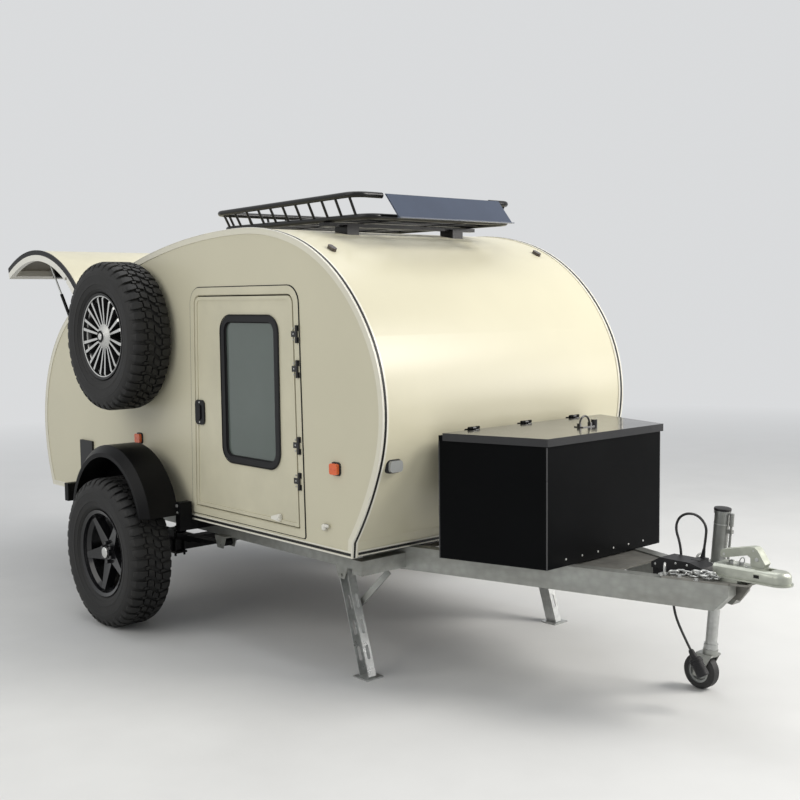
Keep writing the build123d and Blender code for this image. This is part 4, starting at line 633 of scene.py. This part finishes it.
def build_plug(bm):
    """Round plug with a ribbed collar and a hollow mouth."""
    start = CORD_POINTS[-1]
    heading = Vector(PLUG_END) - Vector(start)
    profile = [(0, 6), (1.5, 9), (8, 11), (30, 13.5), (34, 14.5), (36, 21), (39, 23.5),
               (43.5, 24), (44.5, 26.6), (48, 26.6), (49, 25), (51, 25), (52, 26.6), (55.5, 26.6),
               (56.5, PLUG_RADIUS)]
    for k in range(5):
        profile += [(far + 6 * k, PLUG_RADIUS - deep) for far, deep in ((61, 0), (62, 1), (64, 1), (65, 0))]
    profile += [(PLUG_LENGTH - back, radius) for back, radius in (
        (2, PLUG_RADIUS), (0, 22.5), (0, 20.5), (1.5, 20), (20, 19.5), (20, 3))]
    lathe(bm, start, heading, profile, 40)
    axis = heading.normalized()
    u, v = cross_axes(axis)
    middle = at(*start) + axis * (PLUG_LENGTH - 21) / 1000
    for foot in circle(middle, u, v, 0.0115, 6) + [middle]:
        tube(bm, [foot, foot + axis * 0.012, foot + axis * 0.014], 0.0017, 8)


def build_relief(bm):
    """Tapered and ringed sleeve where the cable leaves its cover."""
    profile = [(-1, 5.05), (-1, 9.5), (3, 9.8), (4, 8.6), (8, 8.4)]
    for k in range(5):
        wide = 8.2 - 0.5 * k
        profile += [(9 + 5 * k, wide), (12 + 5 * k, wide - 0.1), (12.6 + 5 * k, wide - 0.9)]
    profile += [(36, 5.6), (37, 5.05)]
    start, after = CORD_POINTS[:2]
    lathe(bm, start, Vector(after) - Vector(start), profile, 28, closed=True)


def add_cable():
    """Cable on a smooth line through the route's points, with its plug and sleeve."""
    plug = piece("cable_plug_body", "plug", build_plug)
    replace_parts(plug, "trailer_plug")
    piece("cable_strain_relief", "plug", build_relief)
    curve = bpy.data.curves.new("cable_line", "CURVE")
    curve.dimensions = "3D"
    spline = curve.splines.new("NURBS")
    spline.points.add(len(CORD_POINTS) - 1)
    for point, place in zip(spline.points, CORD_POINTS):
        point.co = (*at(*place), 1.0)
    spline.order_u = 3
    spline.use_endpoint_u = True
    spline.resolution_u = 12
    curve.bevel_depth = 0.005
    curve.bevel_resolution = 4
    curve.use_fill_caps = True
    curve.materials.append(M["cord"])
    line = put("cable_line", curve, "root")
    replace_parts(line, "trailer_cable")


# Tyres

# Radii of the tread's top and of the carcass under it, by the distance from the middle
CROWN = 367.5
CROWN_LINE = [(0, CROWN), (64, 367.3), (84, 361), (93, 355), (102, 341), (106.5, 326.5)]
GROOVE_LINE = [(0, 356.5), (64, 356), (84, 350), (93, 345), (101, 334), (106.5, 322)]

# Right half of the tyre's section, from the bead over the sidewall to the tread
TYRE_SIDE = [
    (66, 202.4), (80, 205), (84, 213.6), (87, 218), (92.5, 222), (96.5, 229), (98.5, 232.5),
    (100, 233), (101, 238), (103, 246), (105.5, 256), (107.2, 257), (107.6, 260),
    (107, 262), (108.6, 275), (109.4, 288), (109.3, 300), (109.9, 301), (109.9, 304),
    (109, 305), (107.6, 317), (106.5, 322), (101, 334), (93, 345), (84, 350),
    (64, 356), (30, 356.4),
]

# Tread blocks: the distance from the middle, both edges in shares of the pitch, and the skew
TREAD_PITCHES = 44
CENTRE_BLOCK = [(4, -0.42, 0.12, -9), (20, -0.40, 0.22, 0), (34, -0.30, 0.20, 3.6)]
LINK_BLOCK = [(30, 0.30, 0.52, 0), (46, 0.26, 0.56, 0), (50, 0.30, 0.52, 0)]
SHOULDER_BLOCK = [(42, -0.30, 0.16, 0), (64, -0.36, 0.30, 0), (84, -0.38, 0.32, 0), (93, -0.36, 0.30, 0)]


def line_at(y, points):
    """Value on a broken line at a distance from the middle."""
    x = abs(y)
    for (x0, y0), (x1, y1) in zip(points, points[1:]):
        if x <= x1:
            return y0 + (y1 - y0) * (x - x0) / (x1 - x0)
    return points[-1][1]


def wheel_point(angle, far, y, radius):
    """Point on a wheel at its own origin, in metres."""
    turn = angle + far / CROWN
    return Vector((math.sin(turn) * radius, y, math.cos(turn) * radius)) / 1000


def tread_block(bm, angle, stations):
    """One tread block over stations of (y, first side, second side) along the tread."""
    rings = []
    for y, a, b in stations:
        top = line_at(y, CROWN_LINE)
        low = line_at(y, GROOVE_LINE) - 1.5
        rings.append([wheel_point(angle, far, y, radius) for far, radius in (
            (a - 0.8, low), (a, top - 1.6), (a + 1.6, top), (b - 1.6, top), (b, top - 1.6), (b + 0.8, low))])
    loft(bm, rings)


def build_tyre(bm):
    """Tyre with staggered centre blocks, shoulder lugs and rings on its sidewalls."""
    profile = TYRE_SIDE + [(-y, r) for y, r in reversed(TYRE_SIDE)]
    sides = 144
    loft(bm, [[wheel_point(2 * math.pi * k / sides, 0, y, r) for y, r in profile] for k in range(sides)],
         closed=True)
    pitch = 2 * math.pi * CROWN / TREAD_PITCHES
    for k in range(TREAD_PITCHES):
        long_lug = k % 2
        shoulder = SHOULDER_BLOCK + [(106 if long_lug else 100, -0.30, 0.22, 0)]
        for side in (-1, 1):
            angle = 2 * math.pi * (k + (0.5 if side > 0 else 0)) / TREAD_PITCHES
            for stations in (CENTRE_BLOCK, LINK_BLOCK, shoulder):
                tread_block(bm, angle, [(side * y, a * pitch + side * skew, b * pitch + side * skew)
                                        for y, a, b, skew in stations])
            if long_lug:
                loft(bm, [[wheel_point(angle, share * pitch, side * (y - deep), r)
                           for share, deep in ((-0.16, 3), (-0.13, 0), (0.10, 0), (0.13, 3))]
                          for y, r in ((106.3, 318), (109.6, 298))])


def add_tyres():
    """One tyre mesh for the two road wheels and the spare."""
    mesh = mesh_of("tyre_tread_right", "tyre", build_tyre, crease=28)
    for name, body, node_name, place in (
            ("tyre_tread_right", "wheel_right", "tyre_right", (0, -WHEEL_Y, WHEEL_Z)),
            ("tyre_tread_left", "wheel_left", "tyre_left", (0, WHEEL_Y, WHEEL_Z)),
            ("spare_tyre_tread", "root", "spare_tyre", (SPARE_X, SPARE_Y, SPARE_Z))):
        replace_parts(put(name, mesh, body, at(*place)), node_name)


def add_wheel_caps():
    """Centre caps, nuts and valves of the road wheels, and the spare's cap, ring and hub cone."""
    def cap(bm):
        lathe(bm, (0, -WHEEL_FACE - 21, WHEEL_Z), OUT,
              [(0, 27.5), (3.5, 27.5), (5, 26), (6, 23), (6.4, 16), (6.6, 4)], 36)

    def nuts(bm):
        for k in range(6):
            turn = math.radians(60 * k + 36)
            x, z = NUT_CIRCLE * math.cos(turn), WHEEL_Z + NUT_CIRCLE * math.sin(turn)
            lathe(bm, (x, 1 - WHEEL_FACE, z), OUT,
                  [(0, 11), (3, 11), (3.2, 9.6), (16, 9.6), (18.5, 7.4), (19, 3)], 12)

    def valve(bm):
        lathe(bm, (0, -WHEEL_FACE - 21, WHEEL_Z - 196), (0, -4, 1),
              [(0, 4.6), (12, 4), (13, 4.8), (22, 4.6), (23, 2)], 12)

    pair("wheel_cap", "cap", cap, "wheel_{}")
    pair("wheel_nuts", "alloy_black", nuts, "wheel_{}")
    pair("wheel_valve", "seal", valve, "wheel_{}")

    def on_spare(y, profile, sides, closed=False):
        return lambda bm: lathe(bm, (SPARE_X, y, SPARE_Z), OUT, profile, sides, closed)

    piece("spare_cap", "cap", on_spare(
        -966, [(0, 17), (3, 17), (4.4, 15.5), (5, 11), (5.2, 4)], 36))
    piece("spare_cap_ring", "seal", on_spare(
        -966, [(0, 17.2), (2.4, 17.2), (3, 18.5), (3, 28), (1, 29.5), (0, 29.5)], 36, True))
    piece("spare_hub_cone", "hub", on_spare(
        -943.5, [(0, 30.4), (0, 62), (3, 62), (5, 60.5), (15, 38), (17.5, 34), (18, 31.5),
                 (18, 30.4)], 40, True))


# Mouldings and seals on the body

FRONT_NODES = [(1193, 1859), (1699, 1448), (1740, 930), (1578, 612)]
REAR_NODES = [(-226, 1760), (-760, 1575), (-1210, 819), (-1138, 550)]
ROOF_TOP = (840, 1911)
TOE_X = 1572
SILL_HALF = 719


def body_path():
    """Side outline from the heel over the roof to the toe."""
    rear = arc_path(ROOF_TOP, (-1, 0), REAR_NODES, -1)
    front = arc_path(ROOF_TOP, (1, 0), FRONT_NODES, 1)
    toe = (TOE_X, 550, *front[-1][2:])
    return rear[::-1] + front[1:] + [toe]


def add_mouldings():
    """Black inserts and bright beads of the edge mouldings."""
    path = body_path()

    def insert(bm):
        band(bm, path, [(2, -5), (4.2, -6), (4.2, -16), (2, -17)])

    def bead(bm):
        band(bm, path, [(1.2, 2.6), (1.2, 4.2), (2.2, 4.8), (3.4, 4.2), (3.9, 2.8), (3.4, 0.5), (2, 0)])
        band(bm, path, [(2.6, -1.4), (3.9, -1.8), (3.9, -4), (2.6, -4.4)])
        band(bm, path, [(2.6, -17.6), (3.9, -18), (3.9, -22.4), (2.6, -22.8)])

    def low_bead(bm):
        for z in (549.6, 571.4):
            wall_strip(bm, (-1137, 1571), z, 2.4, 1.6, 4.6)

    def sill(bm, outer, low, high):
        section = [(2, low), (outer, low + 0.6), (outer, high - 0.6), (2, high)]
        loft(bm, [[at(TOE_X + 6.0 * (z - 550) / 62.0 + out, y, z) for out, z in section]
                  for y in (-SILL_HALF, SILL_HALF)])

    def sill_beads(bm):
        sill(bm, 5, 551, 554.6)
        sill(bm, 5, 569.4, 573.4)

    both("edging_insert", "insert", insert)
    both("edging_bead", "bead", bead)
    both("lower_edging_insert", "insert", lambda bm: wall_strip(bm, (-700, 1570), 561, 6, 5.4, 4.4))
    both("lower_edging_bead", "bead", low_bead)
    piece("sill_insert", "insert", lambda bm: sill(bm, 4.6, 556, 567.5))
    piece("sill_beads", "bead", sill_beads)


DOOR_CORNERS = [(376, 584), (1268, 584), (1244, 1656), (400, 1656)]
DOOR_RADII = [10, 10, 78, 78]
WINDOW = (877, 1193, 446, 674, 76, 10)
HANDLE_X, HANDLE_Z = 464, 1071
HINGE_X = 1212
HINGE_TOPS = (864, 1017, 1342, 1489)


def add_door_trim():
    """Seals round the door frames, window gaskets, handle screws and hinge screws."""
    window = box_path(*WINDOW)

    def seal(bm):
        band(bm, rounded_path(DOOR_CORNERS, DOOR_RADII),
             [(-0.6, -0.5), (-0.6, 4.2), (1.2, 4), (3.6, 1), (3.6, -0.5)], closed=True)

    def gasket(bm):
        inner = [(a - na * 30, b - nb * 30, na, nb) for a, b, na, nb in window]
        band(bm, inner, [(0.4, -5), (-3, -4.8), (-6, -3.6), (-5, -1.4), (0.4, 0)], closed=True)

    def window_lip(bm):
        band(bm, window, [(-0.4, 4.4), (2.6, 4.4), (1.6, 7.5), (-0.4, 10)], closed=True)

    def handle_screws(bm):
        for z in (HANDLE_Z - 47, HANDLE_Z + 47):
            lathe(bm, (HANDLE_X, -WALL - 8, z), OUT,
                  [(0, 4.6), (1.6, 4.6), (2.6, 3.2), (2.6, 1.2), (1.8, 1)], 14)

    def hinge_screws(bm):
        for top in HINGE_TOPS:
            for down in (14, 38, 62):
                lathe(bm, (HINGE_X, -WALL - 5.5, top - down), OUT,
                      [(0, 4.2), (1.4, 4), (2.4, 2.6), (2.4, 1), (1.6, 0.8)], 12)

    pair("door_frame_seal", "seal", seal)
    pair("window_gasket", "seal", gasket, "door_{}")
    pair("window_lip", "black_trim", window_lip, "door_{}")
    pair("handle_screws", "zinc_bright", handle_screws, "door_{}")
    pair("hinge_screws", "zinc_bright", hinge_screws, "door_{}")


def add_catches():
    """White door catch on the wall and its keeper low on the door."""
    def hook(bm):
        block(bm, (1394, -768, 640), (1416, -750, 668), 5)
        block(bm, (1408, -766, 654), (1438, -757, 670), 3.5)

    def keeper(bm):
        outline = [(1034, 640), (1092, 634), (1100, 640), (1098, 664), (1088, 668), (1036, 652)]
        loft(bm, [[wall_place(x, z, proud) for x, z in outline] for proud in (2, 14)])
        block(bm, (1076, -770, 640), (1096, -752, 662), 3)

    both("wall_catches", "bead", hook)
    pair("door_keeper", "bead", keeper, "door_{}")


def add_lamp_trim():
    """Dark bases round the marker lamps and the front lamps, and the markers' bulbs."""
    def bases(bm):
        for x, z in MARKERS:
            band(bm, box_path(x, z, 50.4, 46.4, 10),
                 [(0, -0.5), (5, -0.5), (4.2, 5), (2, 7), (0, 7)], closed=True)

    def surrounds(bm):
        band(bm, box_path(-672, 935, 66.6, 46.6, 14),
             [(0, 1731), (6, 1731), (5, 1749), (2, 1753), (0, 1753)], front_place, True)

    def bulbs(bm):
        for x, z in MARKERS:
            for dx in (-12, 12):
                lathe(bm, (x + dx, -WALL - 19, z), OUT, [(0, 6), (1.2, 5.4), (2, 3.4), (2.2, 1)], 16)

    both("marker_bases", "black_trim", bases)
    both("front_lamp_surrounds", "black_trim", surrounds)
    both("marker_lens_domes", "amber", bulbs)


# Drawbar, coupling, chains and jockey leg

CHAIN_ROUTE = [(2660, -116, 570), (2700, -80, 570), (2826, -68, 571), (2818, -80, 584), (2744, -92, 582)]
CHAIN_PITCH = 27
COUPLING_TOP = 617
JOCKEY_Y = 290
JOCKEY_FOOT = 2561
JOCKEY_LEAN = 0.0822

# One flank of the coupling's neck at four stations along it, as (y, z) between its two inner corners
NECK_TOP = (19, 600)
NECK_FOOT = (36, 576)
NECK = [
    (2944, [(19, 618), (33, 618), (38, 614), (41.5, 610), (43, 605), (43, 576)]),
    (2990, [(19, 617.6), (32, 617), (37, 613.4), (40.8, 609), (42.6, 603.6), (42.6, 576)]),
    (3020, [(19, 618.6), (31, 616.4), (36.2, 612), (40, 606), (42.2, 600), (42.2, 576)]),
    (3040, [(19, 619.6), (30, 616.8), (35.6, 612), (39.6, 605.6), (41.9, 597), (41.9, 576)]),
]


def wire_link(bm, middle, first, second, length, width, wire, steps=8, sides=10):
    """Flat-sided link of round wire about a place, along one direction and across another."""
    radius = width / 2
    straight = (length - width) / 2
    line = []
    for sign in (1, -1):
        for k in range(steps + 1):
            turn = math.pi * k / steps - math.pi / 2
            a = sign * (straight + radius * math.cos(turn))
            b = sign * radius * math.sin(turn)
            line.append(at(*(middle + first * a + second * b)))
    tube(bm, line, wire, sides, closed=True)


def build_chains(bm):
    """Chain links, neighbours turned a quarter, with the shackle and its plate."""
    corners = [Vector(place) for place in CHAIN_ROUTE]
    left = CHAIN_PITCH / 2
    index = 0
    for foot, end in zip(corners, corners[1:]):
        heading = (end - foot).normalized()
        side = Vector(UP).cross(heading).normalized()
        while left < (end - foot).length:
            roll = math.radians(45 if index % 2 else -45)
            across = side * math.cos(roll) + heading.cross(side) * math.sin(roll)
            wire_link(bm, foot + heading * left, heading, across, 36, 21, 0.0038)
            left += CHAIN_PITCH
            index += 1
        left -= (end - foot).length
    wire_link(bm, Vector((2638, -118, 579)), Vector(UP), Vector((0.6, -1, 0)).normalized(), 43, 31, 0.0045,
              10, 12)
    block(bm, (2620, -134, 558), (2654, -102, 564), 1)
    lathe(bm, (2637, -134, 561), OUT, [(0, 8), (3.4, 8), (3.4, 4)], 6)


def add_coupling_details():
    """Chains, and the coupling's pins, bolts, painted shade of its slots, rounded neck and clip."""
    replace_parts(both("chain_links", "zinc_bright", build_chains), "safety_chains")

    def pins(bm):
        for sign in (-1, 1):
            for x, z, profile, sides in (
                    (2960, 650, [(0, 7.6), (2, 7.6), (3.4, 6.4), (3.6, 2)], 20),
                    (2946, 680, [(0, 3.6), (1.6, 3.4), (2, 1)], 14),
                    (2826, 650, [(0, 5.2), (1.6, 5), (2.2, 2)], 16)):
                lathe(bm, (x, sign * 18, z), (0, sign, 0), profile, sides)
        lathe(bm, (2848, 0, COUPLING_TOP), UP, [(0, 17), (2, 17), (2.2, 11.5), (10, 11.5), (12, 9)], 6)
        lathe(bm, (2890, 0, COUPLING_TOP), UP, [(0, 14), (2, 14), (2.2, 10), (8, 10), (9.5, 8)], 6)

    def cheeks(bm):
        loft(bm, [[at(x, -y, z) for y, z in (NECK_TOP, *flank, NECK_FOOT)] for x, flank in NECK])

    def clip(bm):
        tube(bm, [at(x, -26, z) for x, z in (
            (2888, COUPLING_TOP), (2892, 630), (2900, 646), (2907, 652), (2914, 649), (2916, 640),
            (2912, 630), (2918, 624), (2928, 620))], 0.0022)

    piece("coupling_pins", "zinc_bright", pins)
    # Thin dark plates on the coupling's flanks: painted shade where its slots are
    both("coupling_slot_shade", "seal", lambda bm: block(bm, (2962, -43.4, 589), (2984, -41.5, 601), 0.4))
    piece("coupling_cheeks", "coupling", cheeks, crease=50, side="both")
    piece("coupling_clip", "zinc_bright", clip)


def add_drawbar_details():
    """Rivets and bolts of the cable cover and its plate, and the tool box's rivets and folded corners, made
    lighter than the box as a painted highlight.
    """
    def rivets(bm):
        for x, z in ((2548, 574), (2592, 582), (2640, 590), (2690, 590), (2736, 576)):
            lathe(bm, (x, -51.5, z), OUT, [(0, 5), (1.4, 4.6), (2.4, 2.8), (2.6, 1)], 14)
        for y in (-112, 112):
            for x in (2700, 2772):
                lathe(bm, (x, y, 557.5), UP, [(0, 11), (1.6, 11), (1.8, 8.2), (7.6, 8.2), (8.4, 6)], 6)

    def box_rivets(bm):
        for k in range(6):
            lathe(bm, (2271.5, 99 * k - 248, 577), AHEAD, [(0, 4.4), (1.2, 4), (2, 2.4), (2.2, 0.8)], 14)

    def box_corners(bm):
        for x, y in ((2271, -359.4), (1821.2, -494.8)):
            tube(bm, [at(x, y, 552), at(x, y, 1024)], 0.0026, 12)

    piece("cover_rivets", "zinc_bright", rivets)
    piece("toolbox_rivets", "zinc_bright", box_rivets)
    # Corner rods in a lighter grey than the box, as a painted highlight
    both("toolbox_corners", "box_edge_highlight", box_corners)


def add_jockey_details():
    """Cap and bands of the jockey leg, and its clamp's handle."""
    def cap(bm):
        lathe(bm, (2622.4, JOCKEY_Y, 746), (0.082, 0, 1),
              [(0, 33.6), (1, 34.4), (7, 34.4), (9, 33), (10, 26), (10.4, 8)], 36)

    def bands(bm):
        for low, high, radius in ((404, 410, 35.2), (690, 694, 31.2)):
            lathe(bm, (JOCKEY_FOOT + low * JOCKEY_LEAN, JOCKEY_Y, low), (JOCKEY_LEAN, 0, 1),
                  [(0, 29.9), (0, radius), (high - low, radius), (high - low, 29.9)], 32, closed=True)

    def handle(bm):
        tube(bm, [at(2603, 322, 500), at(2603, 346, 500), at(2603, 352, 502)], 0.006, 12)
        tube(bm, [at(2603, 350, 470), at(2603, 351, 500), at(2603, 350, 530)], 0.0065, 12)

    piece("jockey_cap", "black_trim", cap)
    piece("jockey_bands", "zinc_bright", bands)
    piece("jockey_clamp_handle", "zinc_bright", handle)


def add_fender_trim():
    """Rolled lip on each fender's outer edge, a little lighter than the fender as a painted highlight, and
    its bracket's bolts.
    """
    radius, middle_z, end_z = 331, 510, 578

    def lip(bm):
        reach = math.acos((end_z - middle_z) / radius)
        turns = [reach * (k / 30 - 1) for k in range(61)]
        tube(bm, [at(radius * math.sin(turn), -1019, middle_z + radius * math.cos(turn)) for turn in turns],
             0.0026)

    def bolts(bm):
        for x in (-372, 372):
            for z in (590, 622):
                lathe(bm, (x, -839, z), OUT, [(0, 9), (1, 9), (1.2, 7), (6, 7), (7, 5)], 6)

    both("fender_lips", "lip", lip)
    both("fender_bolts", "zinc_bright", bolts)


# Mattress

PAD_X0, PAD_X1 = -548, 1380
PAD_HALF = 706
PAD_Z0, PAD_Z1 = 590.4, 700
PAD_CHANNELS = 7
PAD_GRID = (168, 48)


def pad_plan(s, t, shrink):
    """Place in plan of a point from -1 to 1 on both axes, with the sides pulled in."""
    pull_x = 1.0 - 0.009 * (1 - t * t)
    pull_y = 1.0 - 0.014 * (1 - s * s)
    corner = 1.0 - 0.022 * (abs(s) * abs(t)) ** 26
    reach = (PAD_X1 - PAD_X0) / 2
    x = PAD_X0 + reach + s * (reach - shrink) * pull_x * corner
    return x, t * (PAD_HALF - shrink) * pull_y * corner


def pad_top(x, s, t):
    """Height of the top face, crowned and sewn down in channels."""
    edge = max(abs(s) ** 16, abs(t) ** 10)
    seams = [PAD_X0 + (PAD_X1 - PAD_X0) * k / PAD_CHANNELS for k in range(1, PAD_CHANNELS)]
    sewn = sum(math.exp(-((x - seam) / 9) ** 2) for seam in seams) * (1 - abs(t) ** 14)
    return PAD_Z1 - 13.0 * edge - 3.5 * (s * s + t * t) / 2 - 7.0 * sewn


def build_pad(bm):
    """Closed pad: a grid on top and below, joined by bulging sides."""
    nx, ny = PAD_GRID

    def vert(i, j, share, shrink):
        s, t = 2 * i / nx - 1, 2 * j / ny - 1
        x, y = pad_plan(s, t, shrink)
        return bm.verts.new(at(x, y, PAD_Z0 + (pad_top(x, s, t) - PAD_Z0) * share))

    border = ([(i, 0) for i in range(nx)] + [(nx, j) for j in range(ny)]
              + [(i, ny) for i in range(nx, 0, -1)] + [(0, j) for j in range(ny, 0, -1)])
    low, high = [[[vert(i, j, share, 6) for j in range(ny + 1)] for i in range(nx + 1)] for share in (0, 1)]
    for i in range(nx):
        for j in range(ny):
            for grid, order in ((low, -1), (high, 1)):
                corners = [grid[i][j], grid[i + 1][j], grid[i + 1][j + 1], grid[i][j + 1]]
                bm.faces.new(corners[::order])
    rows = [[low[i][j] for i, j in border]]
    for k in range(1, 7):
        shrink = 6 - 5.5 * math.sin(math.pi * k / 7) ** 0.6
        rows.append([vert(i, j, k / 7, shrink) for i, j in border])
    rows.append([high[i][j] for i, j in border])
    for below, over in zip(rows, rows[1:]):
        join(bm, below, over)


def build_piping(bm):
    """Piping round the pad's upper and lower edges."""
    count = 220
    for level in (0, 1):
        line = []
        for k in range(count):
            share = 4 * k / count
            edge, u = int(share), 2 * (share - int(share)) - 1
            s, t = ((u, -1), (1, u), (-u, 1), (-1, -u))[edge]
            x, y = pad_plan(s, t, 5.2)
            line.append(at(x, y, pad_top(x, s, t) - 1.0 if level else PAD_Z0 + 3.2))
        tube(bm, line, 0.003, 8, closed=True)


def add_mattress():
    """Crowned mattress with sewn channels and piping on its edges."""
    pad = piece("mattress_pad", "cloth", build_pad, crease=80)
    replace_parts(pad, "mattress")
    edge = piece("mattress_piping", "piping", build_piping, crease=80)


# Camera, floor and light

CAMERA_AT = at(5140.86, -3669.37, 1594.75)
CAMERA_AZIMUTH = math.radians(48.20)
CAMERA_PITCH = math.radians(5.02)
CAMERA_ROLL = math.radians(-0.66)
CAMERA_LENS = 51.97
BACKDROP = (0.70, 0.71, 0.72)
FADE_START = 5.0
FADE_END = 13.0
FLOOR_HALF = 30.0


def add_camera():
    """Camera at the photograph's place and angle."""
    a, e, r = CAMERA_AZIMUTH, CAMERA_PITCH, CAMERA_ROLL
    ahead = Vector((-math.sin(a) * math.cos(e), math.cos(a) * math.cos(e), -math.sin(e)))
    right = ahead.cross(Vector(UP)).normalized()
    up = right.cross(ahead)
    right, up = math.cos(r) * right + math.sin(r) * up, -math.sin(r) * right + math.cos(r) * up
    turn = Matrix((right, up, -ahead)).transposed().to_4x4()
    data = bpy.data.cameras.new("camera")
    data.lens = CAMERA_LENS
    data.sensor_width = 36.0
    data.clip_end = 100.0
    camera = show("camera", data)
    camera.matrix_world = Matrix.Translation(CAMERA_AT) @ turn
    bpy.context.scene.camera = camera


def add_lamp(name, place, target, size, power, colour=(1.0, 1.0, 1.0)):
    """Soft rectangular lamp that faces a point."""
    data = bpy.data.lights.new(name, "AREA")
    data.shape = "RECTANGLE"
    data.size, data.size_y = size
    data.energy = power
    data.color = colour
    lamp = show(name, data)
    lamp.location = place
    lamp.rotation_euler = (target - place).to_track_quat("-Z", "Y").to_euler()


def floor_look():
    """Pale floor that fades into the background far from the trailer."""
    material = paint("pale_floor", (0.62, 0.62, 0.61), 0.8, vary=0.03, grain_depth=0.0)
    by_kind = {made.type: made for made in material.node_tree.nodes}
    away = vectors("LENGTH", by_kind["TEX_COORD"].outputs["Object"], output="Value")
    far = step_mask(away, (FADE_START + FADE_END) / 2, (FADE_END - FADE_START) / 2)
    glow = node(far, "Emission", {"Color": (*BACKDROP, 1.0), "Strength": 1.0})
    matt = by_kind["BSDF_PRINCIPLED"].outputs["BSDF"]
    blend = node(far, "MixShader", {"Fac": far, 1: matt, 2: glow.outputs["Emission"]})
    fill(by_kind["OUTPUT_MATERIAL"], {"Surface": blend.outputs["Shader"]})
    return material


def add_world():
    """Even light from all round, behind a backdrop that the camera, mirrors and panes see."""
    world = bpy.data.worlds.new("studio")
    bpy.context.scene.world = world
    world.use_nodes = True
    tree = world.node_tree
    tree.nodes.clear()
    light = node(tree, "Background", {"Color": (0.93, 0.96, 1.0, 1.0), "Strength": 0.55})
    seen = node(tree, "Background", {"Color": (*BACKDROP, 1.0), "Strength": 1.0})
    path = node(tree, "LightPath", {})
    seen_by = path.outputs["Is Camera Ray"]
    for kind in ("Is Glossy Ray", "Is Transmission Ray"):
        seen_by = maths("MAXIMUM", seen_by, path.outputs[kind])
    blend = node(tree, "MixShader", {
        "Fac": seen_by, 1: light.outputs["Background"], 2: seen.outputs["Background"]})
    node(tree, "OutputWorld", {"Surface": blend.outputs["Shader"]})


def add_stage():
    """Pale floor, world light and soft lamps."""
    mesh = bpy.data.meshes.new("floor")
    corners = [(x * FLOOR_HALF, y * FLOOR_HALF, FLOOR_Z) for x, y in ((-1, -1), (1, -1), (1, 1), (-1, 1))]
    mesh.from_pydata(corners, [], [(0, 1, 2, 3)])
    mesh.materials.append(floor_look())
    floor = show("floor", mesh)
    add_world()
    middle = at(900, 0, 900)
    add_lamp("key", middle + Vector((5.5, 3.2, 4.2)), middle, (3, 3), 400, (1.0, 0.97, 0.92))
    add_lamp("fill", middle + Vector((-1.0, -6.5, 3.5)), middle, (6, 4), 134, (1.0, 0.98, 0.93))
    add_lamp("top", middle + Vector((-1.0, 0.5, 5.5)), middle, (5, 4), 150)
    add_lamp("glow", at(5100, 3650, 1900), at(1700, 100, 1150), (1.6, 1.6), 45, (1.0, 0.97, 0.93))


add_camera()
add_cable()
add_stage()
add_tyres()
add_wheel_caps()
add_mouldings()
add_door_trim()
add_catches()
add_lamp_trim()
add_coupling_details()
add_drawbar_details()
add_jockey_details()
add_fender_trim()
add_mattress()
bpy.context.scene.view_settings.view_transform = "Standard"
